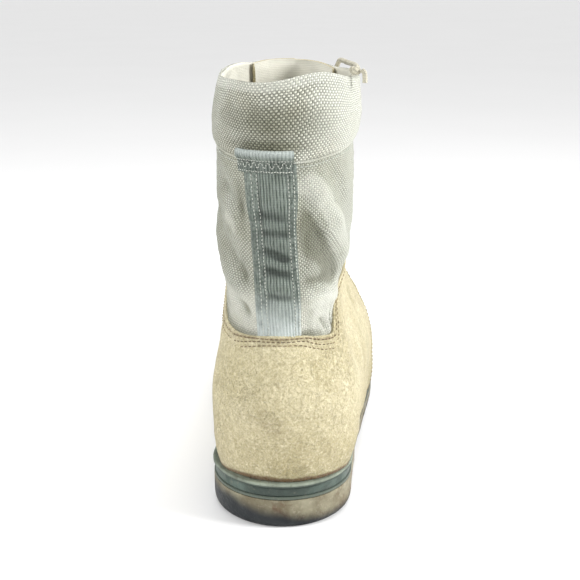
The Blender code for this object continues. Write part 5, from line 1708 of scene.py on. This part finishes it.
    def lining(self):
        """Two thin skins on the last: closed round the foot, open at the throat above it."""
        level = np.linspace(0.15, THROAT_START + 0.2, 44)[:, None]
        s = np.linspace(-1, 1, 161)[None, :-1]
        side = np.where(s < 0, -1.0, 1.0)
        along = LAST.half_length(level, side) * s
        outer, inner = LAST.at(level, along, 0.9 * MM), LAST.at(level, along, 0.1 * MM)
        item = shell_object("foot_lining", outer, inner, flat_map(along, level * 11 * MM), wrap=True)
        dress(item, "lining_cloth", "lining", "upper")
        level = np.linspace(THROAT_START, COLLAR_TOP - 0.06, 62)[:, None]
        along, side = open_ring(level, 180, 0.8 * MM)
        height = LAST.at(level, along)[..., 2]
        folds = -0.7 * MM * np.abs(uneven(along, height, 30 * MM, 41)) * smooth(150 * MM, 190 * MM, height)
        folds = folds * smooth(0, 20 * MM, LAST.half_length(level, side) - np.abs(along) - 30 * MM)
        below = np.where(level < CUFF_LEVEL, canvas_lift(level, along) - 0.8 * MM, 0.85 * MM)
        cover = np.minimum(0.85 * MM, below)
        outer = LAST.at(level, along, cover)
        inner = LAST.at(level, along, np.minimum(folds, cover - 0.5 * MM))
        item = shell_object("shaft_lining", outer, inner, flat_map(along, height))
        dress(item, "lining_cloth", "lining", "upper")


# Webbing

class BOOT_OT_webbing(bpy.types.Operator):
    """The strap up the heel seam, its stitches, and the fold that ends it"""
    bl_idname = "boot.webbing"
    bl_label = "Webbing"

    def execute(self, context):
        self.strap()
        self.fold()
        self.stitching()
        return {"FINISHED"}

    @staticmethod
    def creases(along, height):
        """How far the strap's creases stand out; they lie between its margins."""
        between = smooth(9.5 * MM, 7.0 * MM, np.abs(along - 1 * MM))
        return fold_relief(along, height, WEBBING_CREASES) * between

    def lift(self, level, along, height):
        """Lift of the strap's outside: over the canvas, with its own creases."""
        own = CANVAS_WALL + 0.2 * MM + 0.3 * MM * uneven(along * 0.6, height, 30 * MM, 52)
        own = own + 1.3 * self.creases(along, height)
        return np.maximum(own, canvas_lift(level, along) - 0.35 * MM) + sizes().webbing_thick

    @staticmethod
    def levels(across, z):
        """Levels at which a grid of distances across meets the heights z."""
        few = across[::5]
        level = np.array([LAST.level_at_height(np.full(len(z), a), z, CANVAS_WALL) for a in few])
        return np.array([np.interp(across, few, column) for column in level.T])

    def strap(self):
        """Distances across and heights up; ribs add a cosine, and both edges are rounded."""
        half = sizes().webbing_width / 2
        share = np.linspace(-1, 1, 101)
        z = np.linspace(100.0, 200.0, 220) * MM
        narrow = 1 - 0.13 * smooth(182 * MM, 160 * MM, z)
        level = self.levels(share * half, z)
        along = share[None, :] * half * narrow[:, None]
        height = np.broadcast_to(z[:, None], level.shape)
        middle = smooth(-5.0 * MM, -4.4 * MM, along) * smooth(8.6 * MM, 7.8 * MM, along)
        rib = 0.15 * MM * np.cos(2 * np.pi * along / sizes().rib_pitch) * middle
        slit = hump(height, 172 * MM, 9 * MM)
        groove = sum(hump(along, place * MM, wide * MM) for place, wide in STRAP_SEAMS)
        groove = -0.3 * MM * (groove + hump(along, -4.5 * MM, 0.3 * MM) * slit)
        inside = half * narrow[:, None] - np.abs(along)
        edge = sizes().webbing_thick * 0.6 * (1 - smooth(0, 0.9 * MM, inside))
        top = self.lift(level, along, height)
        outer = LAST.at(level, along, top + rib + groove - edge)
        inner = LAST.at(level, along, top - sizes().webbing_thick - 0.8 * MM)
        # Painted shade in the creases, darker around 152 mm, painted shade in the slit's groove and at the
        # lower end under the suede's edge
        hollow = 0.85 * np.clip(-self.creases(along, height) / (0.95 * MM), 0, 1) ** 1.3
        hollow = hollow + 0.22 * hump(height, 152 * MM, 18 * MM)
        hollow = hollow + 0.8 * hump(along, -4.5 * MM, 0.35 * MM) * slit
        hollow = hollow + 0.5 * smooth(103.5 * MM, 101 * MM, height)
        item = shell_object("webbing_strap", outer, inner, flat_map(along, height), hollow=hollow)
        dress(item, "webbing_cloth", "webbing", "backstay")

    def fold_lift(self, z):
        """Lift of the fold's outside over the strap: pressed flat below, standing off above."""
        return (0.9 + 2.3 * smooth(194.8, 198.6, z / MM)) * MM

    def fold(self):
        """The strap's end turned over: a flat section with a round top edge.

        The section starts at the seam, swells to its thickness and closes in a half circle."""
        half = sizes().webbing_width / 2 + 0.5 * MM
        across = np.linspace(-half, half, 91) - FOLD_SHIFT
        low, high = 189.8 * MM, 200.1 * MM
        up = np.linspace(0, 1, 30)
        flat_z = low + (high - low) * up
        round_half = 0.5 * (self.fold_lift(high) - 0.3 * MM)
        turn = np.linspace(-np.pi / 2, np.pi / 2, 13)[1:-1]
        z = np.concatenate([flat_z, high + round_half * 0.8 * np.cos(turn), flat_z[::-1]])
        lift = np.concatenate([np.full(30, 0.3 * MM), 0.3 * MM + round_half + round_half * np.sin(turn),
                               self.fold_lift(flat_z)[::-1]])
        level = self.levels(across, z)
        along = np.broadcast_to(across, level.shape)
        base = CANVAS_WALL + 0.2 * MM + sizes().webbing_thick * 0.6
        rib = 0.08 * MM * np.cos(2 * np.pi * along / sizes().rib_pitch)
        sag = 0.3 * MM * uneven(along, z[:, None] + 0 * along, 13 * MM, 51)
        points = LAST.at(level, along, base + lift[:, None] + rib + sag)
        loops = points.transpose(1, 0, 2)
        uv = flat_map(along.T, np.broadcast_to(z, (91, len(z))) + 0.02)
        # Painted shade on the flat sewn part below the standing top edge
        seam = 0.35 * smooth(197.5 * MM, 195.5 * MM, z)[None, :] * np.ones((91, 1))
        item = loft_object("webbing_fold", loops, uv, 50.0, hollow=seam)
        dress(item, "webbing_cloth", "webbing", "backstay_fold")

    def stitching(self):
        """Rows up both sides of the strap and a zigzag across the fold."""
        rows = []
        radius = 0.85 * sizes().thread_radius
        for place, _ in STRAP_SEAMS:
            z = np.linspace(103.5, 189.5, 170) * MM
            along = place * MM * (1 - 0.10 * smooth(182 * MM, 160 * MM, z))
            level = LAST.level_at_height(along, z, CANVAS_WALL)
            rows.append(LAST.at(level, along, self.lift(level, along, z) - 0.12 * MM, True))
        item = stitch_object("webbing_stitches", rows, radius, 2.0 * MM, 0.62)
        dress(item, "thread_light", "webbing")
        rows = []
        base = CANVAS_WALL + 0.2 * MM + sizes().webbing_thick * 0.6
        along = np.linspace(-13.0, 13.0, 400) * MM - FOLD_SHIFT
        for middle, swing, count in FOLD_SEAMS:
            wave = np.clip(2.2 * np.sin(2 * np.pi * count * (along / (26 * MM))), -1, 1)
            z = (middle + swing * wave) * MM
            level = LAST.level_at_height(along, z, CANVAS_WALL)
            rows.append(LAST.at(level, along, base + self.fold_lift(z) + 0.2 * MM, True))
        item = stitch_object("fold_stitches", rows, radius, 1.6 * MM)
        dress(item, "thread_light", "webbing")


# Facing, tongue, eyelets and lace

def facing_lift(level):
    """How far the facing's outside lies over the last."""
    wall = SUEDE_WALL - (SUEDE_WALL - CANVAS_WALL) * smooth(7.6, 8.4, level)
    return wall + FIT_GAP + EYESTAY_THICK


def facing_heights():
    """Levels and lengths up the facing's middle line, from the throat's foot."""
    level = np.linspace(THROAT_START, COLLAR_TOP, 400)
    line = LAST.from_front(level, throat_gap(level) + EYELET_INSET, CANVAS_WALL)
    return level, lengths_along(line)


def facing_level(run):
    """Level at a length up the facing; below the throat's foot a level is taken as 26 mm."""
    level, lengths = facing_heights()
    return np.where(run >= 0, np.interp(run, lengths, level), THROAT_START + run / (26 * MM))


def eyelet_runs():
    """Lengths up the facing at which the eyelets sit."""
    return np.linspace(EYELET_END_MARGIN, facing_heights()[1][-1] - EYELET_END_MARGIN, EYELET_PAIRS)


def eyelet_place(run, side, extra=0.0, raised=False):
    """Where an eyelet sits, as a point on the facing."""
    level = facing_level(run)
    across = side * (throat_gap(level) + EYELET_INSET)
    return LAST.from_front(level, across, facing_lift(level) + extra, raised)


class BOOT_OT_facing(bpy.types.Operator):
    """The suede facing round the throat, its stitches, and the tongue"""
    bl_idname = "boot.facing"
    bl_label = "Facing and tongue"

    def execute(self, context):
        self.facing()
        self.tongue()
        return {"FINISHED"}

    @staticmethod
    def strip(t, s):
        """Level and distance across for shares of the strip: t over its width, s along the U.

        The inner line is straight down to the throat's foot and round it in a half circle;
        the outer line is the same, wider by the facing's width and lower by less."""
        top = facing_heights()[1][-1]
        gap = THROAT_GAP_LOW
        bend = 0.20
        leg = np.clip((np.abs(s) - bend) / (1 - bend), 0, 1)
        turn = np.clip(s / bend, -1, 1) * np.pi / 2
        foot = gap - gap * np.cos(turn) - t * 13 * MM * np.cos(turn) ** 0.8
        level = facing_level(np.where(leg > 0, gap + (top - gap) * leg, foot))
        reach = throat_gap(level) + t * EYESTAY_WIDTH
        across = np.where(leg > 0, np.sign(s) * reach, np.sin(turn) * (gap + t * EYESTAY_WIDTH))
        return level, across

    def facing(self):
        """A strip round the throat in a U, lifted off the wall, pressed in at each eyelet."""
        t, s = np.broadcast_arrays(np.linspace(0, 1, 32)[:, None], np.linspace(-1, 1, 340)[None, :])
        level, across = self.strip(t, s)
        lift = facing_lift(level)
        rounding = 0.5 * MM * (1 - smooth(0, 1.3 * MM, np.minimum(t, 1 - t) * EYESTAY_WIDTH))
        points = LAST.from_front(level, across, lift)
        press = np.zeros(points.shape[:2])
        for side in (-1, 1):
            for spot in eyelet_runs():
                centre = eyelet_place(spot, side)
                off = np.linalg.norm(points - centre, axis=2)
                press += 1.2 * MM * (1 - smooth(1.6 * MM, 2.6 * MM, off)) + 0.25 * MM * hump(off, 0, 5 * MM)
        height = points[..., 2]
        lift = lift - rounding - press + 0.18 * MM * uneven(across, height, 17 * MM, 61)
        outer = LAST.from_front(level, across, lift)
        inner = LAST.from_front(level, across, facing_lift(level) - EYESTAY_THICK)
        item = shell_object("suede_facing", outer, inner, flat_map(across, height + 0.3))
        dress(item, "suede_nap", "suede", "eyestay")
        rows = []
        for share in (0.09, 0.90):
            level, across = self.strip(np.full(500, share), np.linspace(-1, 1, 500))
            rows.append(LAST.from_front(level, across, facing_lift(level) + 0.05 * MM, True))
        item = stitch_object("facing_stitches", rows, sizes().thread_radius, sizes().stitch_length)
        dress(item, "thread_sand", "suede")

    def tongue(self):
        """A padded strip behind the throat, thin at its sides, round at its top."""
        u = np.linspace(0, 1, 120)[:, None]
        s = np.linspace(-1, 1, 70)[None, :]
        level = EYESTAY_START + (COLLAR_TOP - EYESTAY_START) * u
        width = throat_gap(level) + EYESTAY_WIDTH - 1.5 * MM
        across = width * s
        height = LAST.from_front(level, across)[..., 2]
        pad = (1 - 0.55 * np.abs(s) ** 4) * (1 - 0.5 * smooth(0.96, 1.0, u))
        lower = -TONGUE_GAP - 0.5 * TONGUE_THICK
        puff = 0.5 * TONGUE_THICK * pad + 0.15 * MM * uneven(across, height, 19 * MM, 71)
        outer = LAST.from_front(level, across, lower + puff)
        inner = LAST.from_front(level, across, lower - puff)
        crown = TONGUE_RISE * smooth(0.9, 1.0, u) * (1 - 0.7 * s**4)
        for grid in (outer, inner):
            grid[..., 2] += crown
        item = shell_object("padded_tongue", outer, inner, flat_map(across, height), sharp=60.0, lined=True)
        dress(item, "suede_nap", "lining", "tongue", inside="lining_cloth")


class BOOT_OT_eyelets(bpy.types.Operator):
    """Painted metal eyelets in both facings"""
    bl_idname = "boot.eyelets"
    bl_label = "Eyelets"

    def execute(self, context):
        for label, side in (("lateral", 1), ("medial", -1)):
            verts, quads = [], []
            for number, run in enumerate(eyelet_runs()):
                points, faces = self.eyelet(run, side)
                quads.append(faces + number * len(points))
                verts.append(points)
            item = mesh_object("eyelets_" + label, np.concatenate(verts), np.concatenate(quads), None, 50.0)
            nodes = [f"eyelet_{label}_{number}" for number in range(1, EYELET_PAIRS + 1)]
            dress(item, "eyelet_metal", "eyelet", *nodes)
        return {"FINISHED"}

    @staticmethod
    def eyelet(run, side):
        """A profile turned round the hole's axis: flange, dome, barrel and its dark floor."""
        centre, out = eyelet_place(run, side, 0.0, True)
        first = unit(np.cross(out, (0.0, 0.0, 1.0)))
        second = np.cross(out, first)
        reach = np.array([4.3, 4.25, 3.9, 3.4, 2.9, 2.5, 2.25, 2.2, 2.2, 2.1, 0.6]) * MM
        rise = np.array([-0.3, 0.1, 0.55, 0.85, 0.85, 0.55, 0.1, -0.6, -1.1, -1.25, -1.3]) * MM
        turn = np.arange(28) * 2 * np.pi / 28
        around = np.cos(turn)[:, None] * first + np.sin(turn)[:, None] * second
        front = centre + reach[:, None, None] * around + rise[:, None, None] * out
        under = np.minimum(rise[::-1] - 0.15 * MM, -0.35 * MM)
        back = centre + reach[::-1, None, None] * around + under[:, None, None] * out
        loops = np.concatenate([front, back])
        return loops.reshape(-1, 3), ring_quads(*loops.shape[:2])


class BOOT_OT_lace(bpy.types.Operator):
    """The lace: a bar at the foot, crossings that dive under the facings, and the top"""
    bl_idname = "boot.lace"
    bl_label = "Lace"

    def execute(self, context):
        self.radius = sizes().lace_diameter / 2
        runs = eyelet_runs()
        bar = self.route(runs[0], runs[0], 1, 0.0, both_out=True)
        self.strand("lace_foot", bar, "lace_bar")
        for number, (low, high) in enumerate(zip(runs, runs[1:]), start=1):
            for side, over in ((1, 1.5), (-1, 0.0)):
                route = self.route(low, high, side, over * MM)
                label = "lateral" if side > 0 else "medial"
                self.strand(f"lace_{label}_{number}", route, f"lace_crossing_{number}")
        self.strand("lace_top_lateral", self.rising(runs[-1]), "lace_crossing_7")
        self.strand("lace_top_medial", self.tucked(runs[-1]), "lace_crossing_7")
        return {"FINISHED"}

    def strand(self, name, route, node):
        """One strand as a cord piece."""
        points = smooth_route(route, 70)
        outward = np.tile((0.02, 0.9, 0.45), (len(points), 1))
        item = cord_object(name, points, outward, self.radius, 14, 8, 0.08)
        dress(item, "lace_cord", "lace", node)

    @staticmethod
    def spots(*places):
        """Points by run, side, distance from the throat's edge and height over the facing."""
        run, side, inset, lift = np.array(places).T
        level = facing_level(run)
        return LAST.from_front(level, side * (throat_gap(level) + inset), facing_lift(level) + lift)

    def route(self, low, high, side, over, both_out=False):
        """Out of one eyelet, over its facing's edge, across, and under the other facing."""
        r = self.radius
        t = np.array([0.0, 0.03, 0.10, 0.26, 0.40, 0.50, 0.60, 0.74, 0.90, 1.0])
        run = low + (high - low) * t

        def way_out(eyelet, side, over_facing, at_edge):
            return self.spots((eyelet, side, EYELET_INSET, -1.0 * MM),
                              (eyelet, side, EYELET_INSET - 0.2 * MM, 0.9 * r),
                              (over_facing, side, EYELET_INSET - 3.4 * MM, 1.2 * MM + r),
                              (at_edge, side, 0.6 * MM, 0.15 * MM + r))

        level = facing_level(run[4:7])
        across = np.array([0.5, 0.0, -0.5]) * side * throat_gap(level)
        middle = LAST.from_front(level, across, 0.8 * MM + r + over)
        if both_out:
            last = way_out(high, -side, run[8], run[7])[::-1]
        else:
            under = -EYESTAY_THICK - CANVAS_WALL - 0.2 * MM
            last = self.spots((run[7], -side, -0.8 * MM, under + 0.4 * r),
                              (run[8], -side, 4.5 * MM, under - 0.6 * r),
                              (run[9], -side, 8.0 * MM, under - 0.6 * r))
        return np.concatenate([way_out(low, side, run[2], run[3]), middle, last])

    def rising(self, run):
        """From inside the top outer eyelet up to where the loose end begins."""
        start = np.array(LACE_END_ROUTE[0])
        lower = start - (np.array(LACE_END_ROUTE[1]) - start) * 0.35
        spots = self.spots((run, 1, EYELET_INSET, -1.0 * MM), (run + 1.0 * MM, 1, EYELET_INSET, 0.7 * MM),
                           (run + 3.6 * MM, 1, EYELET_INSET, 2.1 * MM))
        return np.concatenate([spots, [lower, start]])

    def tucked(self, run):
        """From the top inner eyelet over the facing's edge and down behind it."""
        r = self.radius
        return self.spots(
            (run, -1, EYELET_INSET, -1.0 * MM), (run + 0.6 * MM, -1, EYELET_INSET - 1 * MM, r),
            (run + 2 * MM, -1, EYELET_INSET - 5 * MM, 1.0 * MM + r), (run + 3 * MM, -1, 1.0 * MM, r),
            (run + 3 * MM, -1, -2.2 * MM, -1.2 * MM), (run + 1 * MM, -1, -1.5 * MM, -4.2 * MM),
            (run - 3 * MM, -1, 1.0 * MM, -5.0 * MM))


class BOOT_PT_panel(bpy.types.Panel):
    """The boot's pieces, sizes and colours"""
    bl_idname = "BOOT_PT_panel"
    bl_label = "Combat boot"
    bl_space_type = "VIEW_3D"
    bl_region_type = "UI"
    bl_category = "Boot"

    def draw(self, context):
        for operator in OPERATORS:
            self.layout.operator(operator.bl_idname)
        for group in (context.scene.boot_sizes, context.scene.boot_colours):
            box = self.layout.box()
            for key in group.__annotations__:
                box.prop(group, key)


OPERATORS = (BOOT_OT_stage, BOOT_OT_lace_end, BOOT_OT_sole, BOOT_OT_suede, BOOT_OT_shaft, BOOT_OT_webbing,
             BOOT_OT_facing, BOOT_OT_eyelets, BOOT_OT_lace)
CLASSES = (BootSizes, BootColours, *OPERATORS, BOOT_PT_panel)


def register():
    """Register the classes and hang the property groups on the scene."""
    for item in CLASSES:
        bpy.utils.register_class(item)
    bpy.types.Scene.boot_sizes = bpy.props.PointerProperty(type=BootSizes)
    bpy.types.Scene.boot_colours = bpy.props.PointerProperty(type=BootColours)


def unregister():
    """Take the property groups and the classes away again."""
    del bpy.types.Scene.boot_colours
    del bpy.types.Scene.boot_sizes
    for item in reversed(CLASSES):
        bpy.utils.unregister_class(item)


def main():
    """Register and make every piece."""
    register()
    bpy.ops.boot.stage()
    bpy.ops.boot.lace_end()
    bpy.ops.boot.sole()
    bpy.ops.boot.suede()
    bpy.ops.boot.shaft()
    bpy.ops.boot.webbing()
    bpy.ops.boot.facing()
    bpy.ops.boot.eyelets()
    bpy.ops.boot.lace()


if __name__ == "__main__":
    main()
